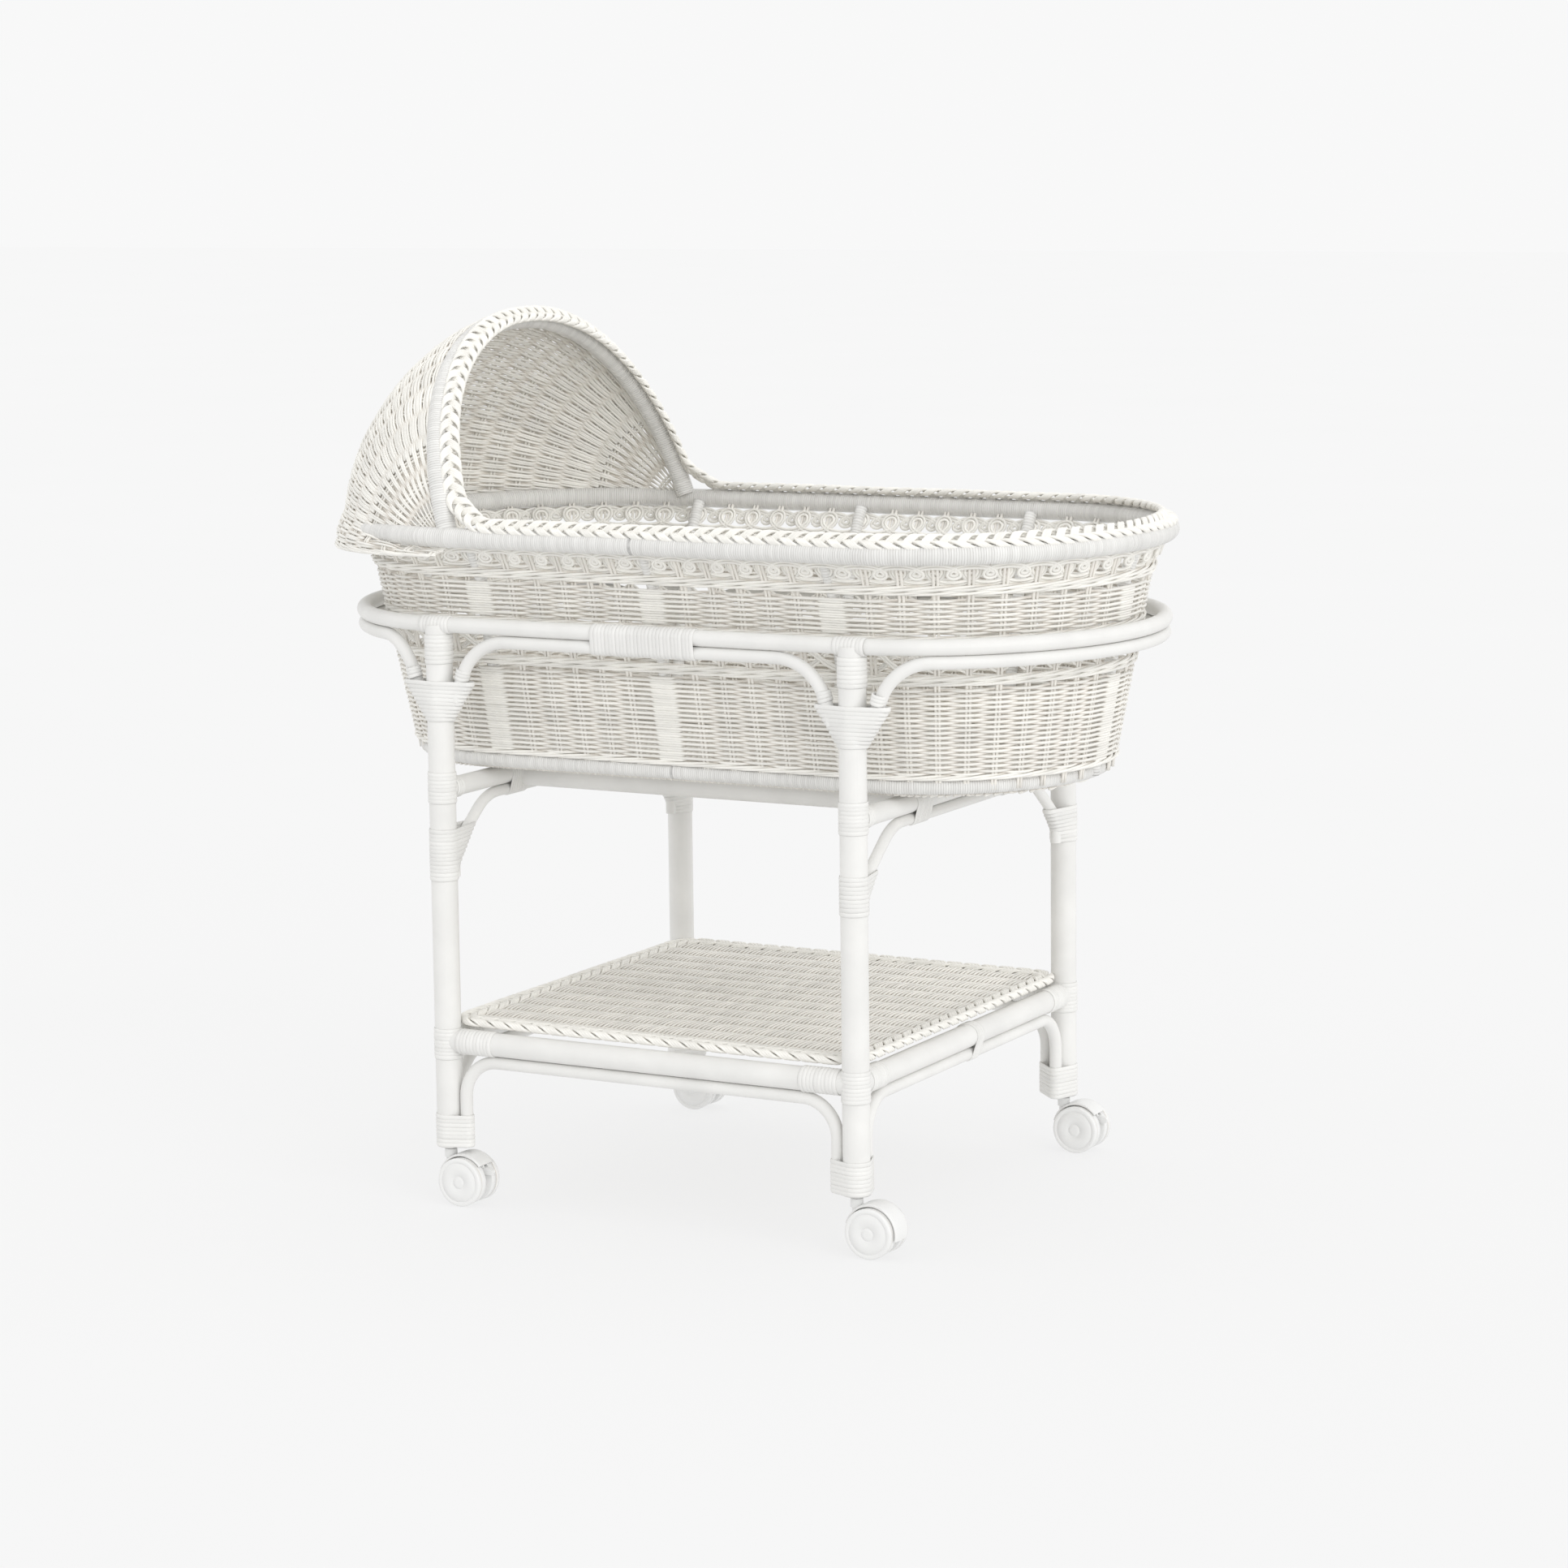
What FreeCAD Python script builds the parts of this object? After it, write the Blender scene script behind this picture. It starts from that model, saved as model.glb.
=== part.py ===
"""Wicker bassinet on a wheeled rattan stand.

Frame: origin on the floor under the middle of the stand, +X towards the foot end,
the hood over the -X end, +Y to the back, +Z up. All sizes are in millimetres.
"""
import FreeCAD, Part
import math
import os

V = FreeCAD.Vector

# ---------------------------------------------------------------- stand sizes
LEG_HALF_X = 234.0          # leg centres from the middle, along the basket
LEG_HALF_Y = 239.0          # leg centres from the middle, across the basket
LEG_R = 13.5
LEG_BOTTOM_Z = 58.0
RING_Z = 594.0              # centre line of the oval ring on top of the legs
RING_R = 8.0
RING_STRAIGHT = 226.0       # half length of the straight sides
RING_CAP = 204.0            # how far each rounded end reaches past them
RING_HALF_WIDTH = 241.0
RING_ARCH_R = 6.5           # thin canes that brace the ring
RING_ARCH_BEND = 56.0
RING_ARCH_FOOT_Z = 517.0
RING_ARCH_SHOULDER = 20.0   # how far the rising run leans away from the leg
RING_ARCH_TURN_DEG = 30.0   # where the end arches leave the ring's curve
RING_ARCH_END_RUN = 40.0    # straight run of an end arch before its bend
RING_ARCH_END_BEND = 50.0
RING_NECK_LENGTH = 39.0     # binding under the ring, down each leg
WEB_BOTTOM_Z = 497.0        # fan-shaped binding that gathers both arches into the leg
WEB_TOP_Z = 537.0
WEB_BOTTOM_HALF = 16.0
WEB_TOP_HALF = 41.0
SIDE_RAIL_R = 10.0
CRADLE_RAIL_R = 13.0
BASKET_REST_Z = 436.0       # top of the side rails and the cradle rails
CRADLE_HALF_Y = 90.0
SIDE_ARCH_R = 5.75
SIDE_ARCH_FOOT_Z = 334.0
SIDE_ARCH_BEND_Z = 362.0
SIDE_ARCH_RUN_Y = 158.0
SIDE_TIE_Y = 104.0
SIDE_TIE_LENGTH = 34.0
SHELF_RAIL_Z = 168.0
SHELF_RAIL_R = 12.0
SHELF_ARCH_R = 6.5
SHELF_ARCH_BEND = 38.0
DECK_HALF_X = 221.0
DECK_HALF_Y = 225.0
DECK_CORNER = 38.0
DECK_THICKNESS = 6.0
EDGE_BRAID_R = 6.0
BINDING_WALL = 1.5          # thickness of the cane wound round a joint
BINDING_SCRAP = 20.0        # offcuts of binding below this volume are dropped
RAIL_JOINT_RISE = 4.0       # extra turns above each side rail
SHELF_COLLAR_DROP = 3.0     # extra turns below each shelf rail
SHELF_BINDING_LENGTH = 42.0
FOOT_BINDING_HEIGHT = 33.0
CENTRE_TIE_LENGTH = 116.0
SHELF_TIE_LENGTH = 22.0

# --------------------------------------------------------------- basket sizes
BASE_STRAIGHT = 210.0
BASE_CAP = 162.0
BASE_HALF_WIDTH = 172.0
BASE_RING_R = 8.0
FLOOR_THICKNESS = 4.0
FLOOR_PANEL_RISE = 1.5      # raised middle of the floor, inside the base ring
RIM_STRAIGHT = 226.0
RIM_CAP = 207.0
RIM_HALF_WIDTH = 245.0
RIM_Z = 682.0
RIM_R = 10.0
WALL_THICKNESS = 7.0
WALL_FLARE_Z = 640.0        # the wall bends further out above this height
WALL_FLARE_CAP = 193.0
WALL_FLARE_HALF_WIDTH = 220.0
WALL_OVERHANG = 6.0         # foot of the wall outside the base ring's centre line
WALL_TOP_INSET = 2.0        # top of the wall inside the rim's centre line
WALL_TOP_SINK = 6.0         # top of the wall below the rim's centre line
BRAID_R = 11.5              # plaited edge that lies on the rim and on the hood pole
BRAID_OFFSET = 7.5
POST_R = 5.0
POST_SINK = 3.5             # how much of the wall stays outside each post
POST_INSET_X = 10.0         # outer side posts inside the start of the rounded ends
FIT_GAP = 0.3               # room between pieces that only lie side by side

# ----------------------------------------------------------------- hood sizes
HOOD_FOOT_X = -212.0        # where the hood pole stands on the rim
HOOD_LEAN_DEG = 17.0        # the hood's opening leans back from upright
HOOD_AXIS_Z = 659.0
HOOD_HALF_WIDTH = 240.0
HOOD_REACH = 238.0
HOOD_STILT = 25.0           # straight foot of the arch before it curves in
HOOD_POLE_R = 10.0
HOOD_SKIN = 6.0
HOOD_SKIN_EDGE = 2.0        # the skin's edge lies this far behind the pole's centre line
HOOD_SKIN_DROP = 12.0       # how far the skin hangs below the rim's centre line
HOOD_SKIN_UNDER_DEG = 15.0  # how far below level the skin's sweep starts
CUT_ROOM = 10.0             # spare length of shapes that only cut

# --------------------------------------------------------------- caster sizes
WHEEL_R = 25.0
WHEEL_WIDTH = 14.0
WHEEL_GAP = 0.5             # side clearance of a wheel to its housing
TRAIL = 21.0                # axle behind the swivel stem
PLATE_HALF = 5.0            # half thickness of the housing between the wheels
AXLE_R = 3.0
STEM_R = 3.5
RUNNING_GAP = 0.05          # radial clearance of shafts that turn
STEM_BOTTOM_Z = 36.0
STEM_DEPTH = 34.0           # how far the stem reaches up into the leg
SOCKET_R = 6.0
SOCKET_FLANGE_R = 9.0
SOCKET_FLANGE = 1.2
WASHER = 1.0                # shoulder on the stem between socket and collar
WASHER_R = 7.0
COLLAR_R = 6.5
COLLAR_TOP_GAP = 0.5
FENDER_GAP = 1.0
FENDER_WALL = 2.0
FENDER_HALF_WIDTH = 13.0
LEVER_HALF = 2.5
LEVER_R = 4.0
LEVER_REACH = 31.0          # tip of the brake lever behind the axle
LEVER_PIVOT = (13.0, 12.0)  # lever pin behind and above the axle
LEVER_PIN_R = 1.5
LEVER_DROP = 2.0            # tip of the lever below its pin
LEVER_TIP_R = 3.2
LEVER_KNUCKLE = 2.0         # housing material round the lever's pin
LEVER_SWING_GAP = 0.6
HUB_R = 9.0
NECK_DROP = 4.0             # neck of the housing below the stem's end
FENDER_BACK_DEG = 62.0      # angles from the trailing side, up and over the wheel
FENDER_FRONT_DEG = 165.0
FENDER_CUT_DEG = 7.0
PLATE_FRONT_DEG = 200.0
PLATE_BACK_DEG = 20.0
CHEEK_BACK_DEG = 35.0
KNUCKLE_BACK_DEG = -5.0
AXLE_END_INSET = 3.0        # end of the axle inside the wheel's face
BORE_END_WALL = 2.5
WHEEL_EDGE_R = 1.5

SHELF_TOP_Z = SHELF_RAIL_Z + SHELF_RAIL_R
DECK_BOTTOM_Z = SHELF_TOP_Z + BINDING_WALL + FIT_GAP
SIDE_RAIL_Z = BASKET_REST_Z - SIDE_RAIL_R
RING_ARCH_Z = RING_Z - RING_R - RING_ARCH_R - FIT_GAP
SIDE_ARCH_Z = SIDE_RAIL_Z - SIDE_RAIL_R - SIDE_ARCH_R - FIT_GAP
SHELF_ARCH_Z = SHELF_RAIL_Z - SHELF_RAIL_R - SHELF_ARCH_R - FIT_GAP
RING_ARCH_INNER_X = LEG_HALF_X - LEG_R - RING_ARCH_R - FIT_GAP
RING_ARCH_OUTER_X = LEG_HALF_X + LEG_R + RING_ARCH_R + FIT_GAP
SIDE_ARCH_Y = LEG_HALF_Y - LEG_R - SIDE_ARCH_R - FIT_GAP
SHELF_ARCH_X = LEG_HALF_X - LEG_R - SHELF_ARCH_R - FIT_GAP
SHELF_ARCH_Y = LEG_HALF_Y - LEG_R - SHELF_ARCH_R - FIT_GAP
FLOOR_BOTTOM_Z = BASKET_REST_Z + BINDING_WALL + FIT_GAP
BASE_RING_Z = FLOOR_BOTTOM_Z + FLOOR_THICKNESS + BASE_RING_R
WALL_TOP_Z = RIM_Z - WALL_TOP_SINK
LEG_CORNERS = {
    "front_head": (-1, -1), "back_head": (-1, 1),
    "front_foot": (1, -1), "back_foot": (1, 1),
}
BRAKED = ("front_head", "back_foot")
nodes = {}


# --------------------------------------------------------------- path helpers
def fillet_path(points, radii):
    """Straight runs through the points, joined by tangent arcs of the radii."""
    edges = []
    start = points[0]
    for here, ahead, radius in zip(points[1:-1], points[2:], radii):
        into = (here - start).normalize()
        out = (ahead - here).normalize()
        turn = into.getAngle(out)
        reach = radius * math.tan(turn / 2)
        first = here - into * reach
        last = here + out * reach
        middle_dir = (out - into).normalize()
        middle = here + middle_dir * (radius / math.cos(turn / 2) - radius)
        if (first - start).Length > 1e-6:
            edges.append(Part.LineSegment(start, first).toShape())
        edges.append(Part.Arc(first, middle, last).toShape())
        start = last
    if (points[-1] - start).Length > 1e-6:
        edges.append(Part.LineSegment(start, points[-1]).toShape())
    return Part.Wire(edges)


def cap_radii(cap, half_width):
    """Corner radius and end radius of a rounded end made of tangent arcs."""
    corner = cap * cap / half_width
    if abs(cap - corner) < 1e-6:
        return corner, corner
    end = (cap * cap + half_width * half_width - 2 * half_width * corner) / (2 * (cap - corner))
    return corner, end


def cap_points(straight, cap, half_width):
    """Points on one rounded end: side, corner arc, end arc, middle of the end."""
    corner, end = cap_radii(cap, half_width)
    cx, cy = straight, half_width - corner
    ex = straight + cap - end
    swing = math.atan2(cy, cx - ex)
    half_swing = (swing + math.pi / 2) / 2

    def on_corner(angle):
        return cx + corner * math.cos(angle), cy + corner * math.sin(angle)

    def on_end(angle):
        return ex + end * math.cos(angle), end * math.sin(angle)

    return [on_corner(math.pi / 2), on_corner(half_swing), on_corner(swing),
            on_end(swing / 2), on_end(0.0)]


def end_edges(straight, cap, half_width, place):
    """Four arcs round one end, from the +width side to the -width side."""
    side, corner_mid, joint, end_mid, tip = cap_points(straight, cap, half_width)
    def flip(p):
        return p[0], -p[1]
    runs = [(side, corner_mid, joint), (joint, end_mid, tip),
            (tip, flip(end_mid), flip(joint)), (flip(joint), flip(corner_mid), flip(side))]
    return [Part.Arc(*[place(p) for p in run]).toShape() for run in runs]


def oval(straight, cap, half_width, z):
    """Closed oval: two straight sides and two rounded ends."""
    foot = end_edges(straight, cap, half_width, lambda p: V(p[0], p[1], z))
    head = end_edges(straight, cap, half_width, lambda p: V(-p[0], -p[1], z))
    front = Part.LineSegment(V(straight, -half_width, z), V(-straight, -half_width, z))
    back = Part.LineSegment(V(-straight, half_width, z), V(straight, half_width, z))
    return Part.Wire(foot + [front.toShape()] + head + [back.toShape()])


def tube(path, radius):
    """Round bar along a path."""
    start = path.Edges[0]
    at = start.firstVertex().Point
    if (at - path.Edges[-1].lastVertex().Point).Length > 1e-6:
        at = path.OrderedVertexes[0].Point
        start = path.OrderedEdges[0]
    param = start.FirstParameter
    if (start.valueAt(param) - at).Length > 1e-6:
        param = start.LastParameter
    circle = Part.Wire(Part.Circle(at, start.tangentAt(param), radius).toShape())
    return path.makePipeShell([circle], True, True)


def bar(start, end, radius):
    """Straight round bar between two points."""
    run = end - start
    return Part.makeCylinder(radius, run.Length, start, run)


def belt(circles, place):
    """Outline of a band stretched round circles given in turn order as (x, y, r)."""
    tangents = []
    count = len(circles)
    for index in range(count):
        ax, ay, ar = circles[index]
        bx, by, br = circles[(index + 1) % count]
        gap = math.hypot(bx - ax, by - ay)
        heading = math.atan2(by - ay, bx - ax)
        normal = heading - math.pi / 2 + math.asin((br - ar) / gap) * -1.0
        tangents.append((normal, (ax + ar * math.cos(normal), ay + ar * math.sin(normal)),
                         (bx + br * math.cos(normal), by + br * math.sin(normal))))
    edges = []
    for index in range(count):
        cx, cy, cr = circles[index]
        before = tangents[index - 1]
        after = tangents[index]
        sweep = (after[0] - before[0]) % (2 * math.pi)
        middle = before[0] + sweep / 2
        arc = [before[2], (cx + cr * math.cos(middle), cy + cr * math.sin(middle)), after[1]]
        edges.append(Part.Arc(*[place(p) for p in arc]).toShape())
        edges.append(Part.LineSegment(place(after[1]), place(after[2])).toShape())
    return Part.Wire(edges)


def wound(circles):
    """The same circles with the binding's thickness added."""
    return [(x, y, r + BINDING_WALL) for x, y, r in circles]


def cut_all(shape, tools):
    """Take the poles that a binding is wound round out of it."""
    box = shape.BoundBox
    near = [tool for tool in tools if box.intersect(tool.BoundBox)]
    return shape.cut(near) if near else shape


def largest(shape):
    """The main piece left after a cut."""
    return max(shape.Solids, key=lambda piece: piece.Volume)


def carve(shape, tools):
    """Cut the tools out one after another, keeping the main piece each time."""
    for tool in tools:
        shape = largest(shape.cut(tool))
    return shape


def mirrored_x(shape):
    return shape.mirror(V(0, 0, 0), V(1, 0, 0))


def mirrored_y(shape):
    return shape.mirror(V(0, 0, 0), V(0, 1, 0))


# ---------------------------------------------------------------------- stand
def make_ring():
    ring = tube(oval(RING_STRAIGHT, RING_CAP, RING_HALF_WIDTH, RING_Z), RING_R)
    nodes["top_ring"] = ring
    return ring


def make_legs(ring):
    for name, (sx, sy) in LEG_CORNERS.items():
        at = V(sx * LEG_HALF_X, sy * LEG_HALF_Y, LEG_BOTTOM_Z)
        leg = Part.makeCylinder(LEG_R, RING_Z - LEG_BOTTOM_Z, at)
        socket_hole = Part.makeCylinder(SOCKET_R, STEM_DEPTH, at)
        nodes["leg_" + name] = leg.cut([ring, socket_hole])


def make_ring_arches():
    z = RING_ARCH_Z
    inner_x = RING_ARCH_INNER_X
    shoulder_x = inner_x - RING_ARCH_SHOULDER
    y = -RING_HALF_WIDTH
    front = [V(-inner_x, y, RING_ARCH_FOOT_Z), V(-shoulder_x, y, z),
             V(shoulder_x, y, z), V(inner_x, y, RING_ARCH_FOOT_Z)]
    front_arch = tube(fillet_path(front, [RING_ARCH_BEND] * 2), RING_ARCH_R)
    nodes["ring_arch_front"] = front_arch
    nodes["ring_arch_back"] = mirrored_y(front_arch)

    corner = cap_radii(RING_CAP, RING_HALF_WIDTH)[0]
    corner_y = RING_HALF_WIDTH - corner
    points = cap_points(RING_STRAIGHT, RING_CAP, RING_HALF_WIDTH)
    joint = V(points[2][0], points[2][1], z)
    tip = V(points[4][0], points[4][1], z)
    turn = math.radians(RING_ARCH_TURN_DEG)
    swing = math.atan2(joint.y - corner_y, joint.x - RING_STRAIGHT)

    def on_corner(angle):
        return V(RING_STRAIGHT + corner * math.cos(angle), corner_y + corner * math.sin(angle), z)

    def across(point):
        return V(point.x, -point.y, point.z)

    leave = on_corner(math.pi / 2 - turn)
    middle = on_corner((math.pi / 2 - turn + swing) / 2)
    shoulder = leave - V(math.cos(turn), -math.sin(turn), 0) * RING_ARCH_END_RUN
    foot = V(RING_ARCH_OUTER_X, LEG_HALF_Y, RING_ARCH_FOOT_Z)
    rise = fillet_path([foot, shoulder, leave], [RING_ARCH_END_BEND])
    fall = fillet_path([across(leave), across(shoulder), across(foot)], [RING_ARCH_END_BEND])
    round_the_end = [
        Part.Arc(leave, middle, joint).toShape(),
        Part.Arc(joint, tip, across(joint)).toShape(),
        Part.Arc(across(joint), across(middle), across(leave)).toShape(),
    ]
    path = Part.Wire(rise.Edges + round_the_end + fall.Edges)
    foot_arch = tube(path, RING_ARCH_R)
    nodes["ring_arch_foot"] = foot_arch
    nodes["ring_arch_head"] = mirrored_x(foot_arch)


def make_rails():
    legs = [nodes["leg_" + name] for name in LEG_CORNERS]
    for name, sx in (("head", -1), ("foot", 1)):
        x = sx * LEG_HALF_X
        side = bar(V(x, -LEG_HALF_Y, SIDE_RAIL_Z), V(x, LEG_HALF_Y, SIDE_RAIL_Z), SIDE_RAIL_R)
        nodes["side_rail_" + name] = cut_all(side, legs)
        shelf = bar(V(x, -LEG_HALF_Y, SHELF_RAIL_Z), V(x, LEG_HALF_Y, SHELF_RAIL_Z), SHELF_RAIL_R)
        nodes["shelf_rail_" + name] = cut_all(shelf, legs)
    ends = [nodes["side_rail_head"], nodes["side_rail_foot"], nodes["side_arches"]]
    shelf_ends = [nodes["shelf_rail_head"], nodes["shelf_rail_foot"]]
    cradle = []
    for name, sy in (("front", -1), ("back", 1)):
        y = sy * LEG_HALF_Y
        shelf = bar(V(-LEG_HALF_X, y, SHELF_RAIL_Z), V(LEG_HALF_X, y, SHELF_RAIL_Z), SHELF_RAIL_R)
        nodes["shelf_rail_" + name] = largest(cut_all(shelf, legs + shelf_ends))
        z = BASKET_REST_Z - CRADLE_RAIL_R
        y = sy * CRADLE_HALF_Y
        rail = bar(V(-LEG_HALF_X, y, z), V(LEG_HALF_X, y, z), CRADLE_RAIL_R)
        cradle.append(largest(rail.cut(ends)))
    nodes["cradle_rails"] = Part.makeCompound(cradle)


def make_side_arches():
    z = SIDE_ARCH_Z
    y = SIDE_ARCH_Y
    arches = []
    for sx in (-1, 1):
        x = sx * LEG_HALF_X
        points = [V(x, -y, SIDE_ARCH_FOOT_Z), V(x, -y, SIDE_ARCH_BEND_Z), V(x, -SIDE_ARCH_RUN_Y, z),
                  V(x, SIDE_ARCH_RUN_Y, z), V(x, y, SIDE_ARCH_BEND_Z), V(x, y, SIDE_ARCH_FOOT_Z)]
        bends = [SIDE_ARCH_BEND_Z - SIDE_ARCH_FOOT_Z, 60.0]
        arches.append(tube(fillet_path(points, bends + bends[::-1]), SIDE_ARCH_R))
    nodes["side_arches"] = Part.makeCompound(arches)


def make_shelf_arches():
    z = SHELF_ARCH_Z
    bottom = LEG_BOTTOM_Z + BINDING_WALL
    x = SHELF_ARCH_X
    y = SHELF_ARCH_Y
    long_points = [V(-x, -LEG_HALF_Y, bottom), V(-x, -LEG_HALF_Y, z),
                   V(x, -LEG_HALF_Y, z), V(x, -LEG_HALF_Y, bottom)]
    side_points = [V(LEG_HALF_X, -y, bottom), V(LEG_HALF_X, -y, z),
                   V(LEG_HALF_X, y, z), V(LEG_HALF_X, y, bottom)]
    front = tube(fillet_path(long_points, [SHELF_ARCH_BEND] * 2), SHELF_ARCH_R)
    foot = tube(fillet_path(side_points, [SHELF_ARCH_BEND] * 2), SHELF_ARCH_R)
    nodes["shelf_arch_front"] = front
    nodes["shelf_arch_back"] = mirrored_y(front)
    nodes["shelf_arch_foot"] = foot
    nodes["shelf_arch_head"] = mirrored_x(foot)


def rounded_plate(half_x, half_y, corner, z, thickness):
    """Flat plate with rounded corners."""
    plate = Part.makeBox(2 * half_x, 2 * half_y, thickness, V(-half_x, -half_y, z))
    uprights = [edge for edge in plate.Edges if abs(edge.tangentAt(0).z) > 0.5]
    return plate.makeFillet(corner, uprights)


def make_shelf():
    deck = rounded_plate(DECK_HALF_X, DECK_HALF_Y, DECK_CORNER, DECK_BOTTOM_Z, DECK_THICKNESS)
    braid_z = DECK_BOTTOM_Z + EDGE_BRAID_R
    x, y = DECK_HALF_X, DECK_HALF_Y
    start = V(0, -y, braid_z)
    corners = [start, V(x, -y, braid_z), V(x, y, braid_z), V(-x, y, braid_z), V(-x, -y, braid_z), start]
    braid = tube(fillet_path(corners, [DECK_CORNER] * 4), EDGE_BRAID_R)
    nodes["shelf_edge_braid"] = braid
    nodes["shelf_deck"] = deck.cut(braid)


# ------------------------------------------------------------------- bindings
def four_corners(shape):
    """A shape made at the front foot leg, repeated at all four legs."""
    back = mirrored_y(shape)
    return [shape, back, mirrored_x(shape), mirrored_x(back)]


def store_bindings(name, shapes, poles):
    solids = []
    for shape in shapes:
        solids += [piece for piece in cut_all(shape, poles).Solids if piece.Volume > BINDING_SCRAP]
    nodes[name] = Part.makeCompound(solids)


def leg_sleeve(low, high):
    """Cane wound round a leg between two heights."""
    return Part.makeCylinder(LEG_R + BINDING_WALL, high - low, V(LEG_HALF_X, -LEG_HALF_Y, low))


def flat(z):
    return lambda p: V(p[0], p[1], z)


def make_bindings():
    poles = [shape for name, shape in nodes.items() if name.startswith(
        ("leg_", "top_ring", "ring_arch", "side_rail", "cradle", "side_arches", "shelf_rail", "shelf_arch"))]

    cap_length = 2 * (LEG_R + BINDING_WALL)
    cap = Part.makeCylinder(RING_R + 2 * BINDING_WALL, cap_length,
                            V(LEG_HALF_X - cap_length / 2, -RING_HALF_WIDTH, RING_Z), V(1, 0, 0))
    neck = leg_sleeve(RING_Z - RING_NECK_LENGTH, RING_Z - RING_R - 2 * BINDING_WALL)
    store_bindings("ring_cap_bindings", four_corners(cap) + four_corners(neck), poles)

    ring_band = wound([(-RING_HALF_WIDTH, RING_Z, RING_R),
                       (-RING_HALF_WIDTH, RING_ARCH_Z, RING_ARCH_R)])
    outline = belt(ring_band, lambda p: V(-CENTRE_TIE_LENGTH / 2, p[0], p[1]))
    tie = Part.Face(outline).extrude(V(CENTRE_TIE_LENGTH, 0, 0))
    ties = [tie, mirrored_y(tie)]

    low, high = [wound([(LEG_HALF_X - half + RING_ARCH_R, -LEG_HALF_Y, RING_ARCH_R),
                        (LEG_HALF_X, -LEG_HALF_Y, LEG_R),
                        (LEG_HALF_X + half - RING_ARCH_R, -LEG_HALF_Y, RING_ARCH_R)])
                 for half in (WEB_BOTTOM_HALF, WEB_TOP_HALF)]
    web = Part.makeLoft([double_belt(low, WEB_BOTTOM_Z), double_belt(high, WEB_TOP_Z)], True, True)
    store_bindings("web_bindings", four_corners(web), poles)

    rail_reach = SIDE_RAIL_R + 2 * BINDING_WALL
    rail_joint = leg_sleeve(SIDE_RAIL_Z - rail_reach, SIDE_RAIL_Z + rail_reach + RAIL_JOINT_RISE)
    store_bindings("rail_joint_bindings", four_corners(rail_joint), poles)

    plan = wound([(LEG_HALF_X, -LEG_HALF_Y, LEG_R), (LEG_HALF_X, -SIDE_ARCH_Y, SIDE_ARCH_R)])
    arch_face = Part.Face(belt(plan, flat(SIDE_ARCH_FOOT_Z)))
    arch_band = arch_face.extrude(V(0, 0, SIDE_ARCH_BEND_Z - SIDE_ARCH_FOOT_Z))
    store_bindings("arch_foot_bindings", four_corners(arch_band), poles)

    section = wound([(SIDE_RAIL_Z, LEG_HALF_X, SIDE_RAIL_R),
                     (SIDE_ARCH_Z, LEG_HALF_X, SIDE_ARCH_R)])
    start_y = -SIDE_TIE_Y - SIDE_TIE_LENGTH / 2
    outline = belt(section, lambda p: V(p[1], start_y, p[0]))
    side_tie = Part.Face(outline).extrude(V(0, SIDE_TIE_LENGTH, 0))
    ties += four_corners(side_tie)

    reach = SHELF_RAIL_R + 2 * BINDING_WALL
    collar = leg_sleeve(SHELF_RAIL_Z - reach - SHELF_COLLAR_DROP, SHELF_TOP_Z + BINDING_WALL)
    sleeve_r = SHELF_RAIL_R + BINDING_WALL
    leg_side = LEG_R + BINDING_WALL
    start_x = V(LEG_HALF_X - leg_side, -LEG_HALF_Y, SHELF_RAIL_Z)
    start_y = V(LEG_HALF_X, leg_side - LEG_HALF_Y, SHELF_RAIL_Z)
    along_x = Part.makeCylinder(sleeve_r, SHELF_BINDING_LENGTH, start_x, V(-1, 0, 0))
    along_y = Part.makeCylinder(sleeve_r, SHELF_BINDING_LENGTH, start_y, V(0, 1, 0))
    store_bindings("shelf_joint_bindings", four_corners(collar.fuse([along_x, along_y])), poles)

    section = wound([(SHELF_RAIL_Z, LEG_HALF_X, SHELF_RAIL_R),
                     (SHELF_ARCH_Z, LEG_HALF_X, SHELF_ARCH_R)])
    outline = belt(section, lambda p: V(p[1], -SHELF_TIE_LENGTH / 2, p[0]))
    shelf_tie = Part.Face(outline).extrude(V(0, SHELF_TIE_LENGTH, 0))
    store_bindings("rail_arch_ties", ties + [shelf_tie, mirrored_x(shelf_tie)], poles)

    plan = wound([(LEG_HALF_X, -LEG_HALF_Y, LEG_R),
                  (LEG_HALF_X, -SHELF_ARCH_Y, SHELF_ARCH_R),
                  (SHELF_ARCH_X, -LEG_HALF_Y, SHELF_ARCH_R)])
    foot = Part.Face(belt(plan, flat(LEG_BOTTOM_Z))).extrude(V(0, 0, FOOT_BINDING_HEIGHT))
    leg_foot = V(LEG_HALF_X, -LEG_HALF_Y, LEG_BOTTOM_Z)
    socket_room = Part.makeCylinder(SOCKET_R, FOOT_BINDING_HEIGHT, leg_foot)
    store_bindings("foot_bindings", four_corners(foot.cut(socket_room)), poles)


def double_belt(circles, z):
    """Band round a middle circle with a smaller one each side of it."""
    left, middle, right = circles
    return belt([left, middle, right, middle], flat(z))


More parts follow.
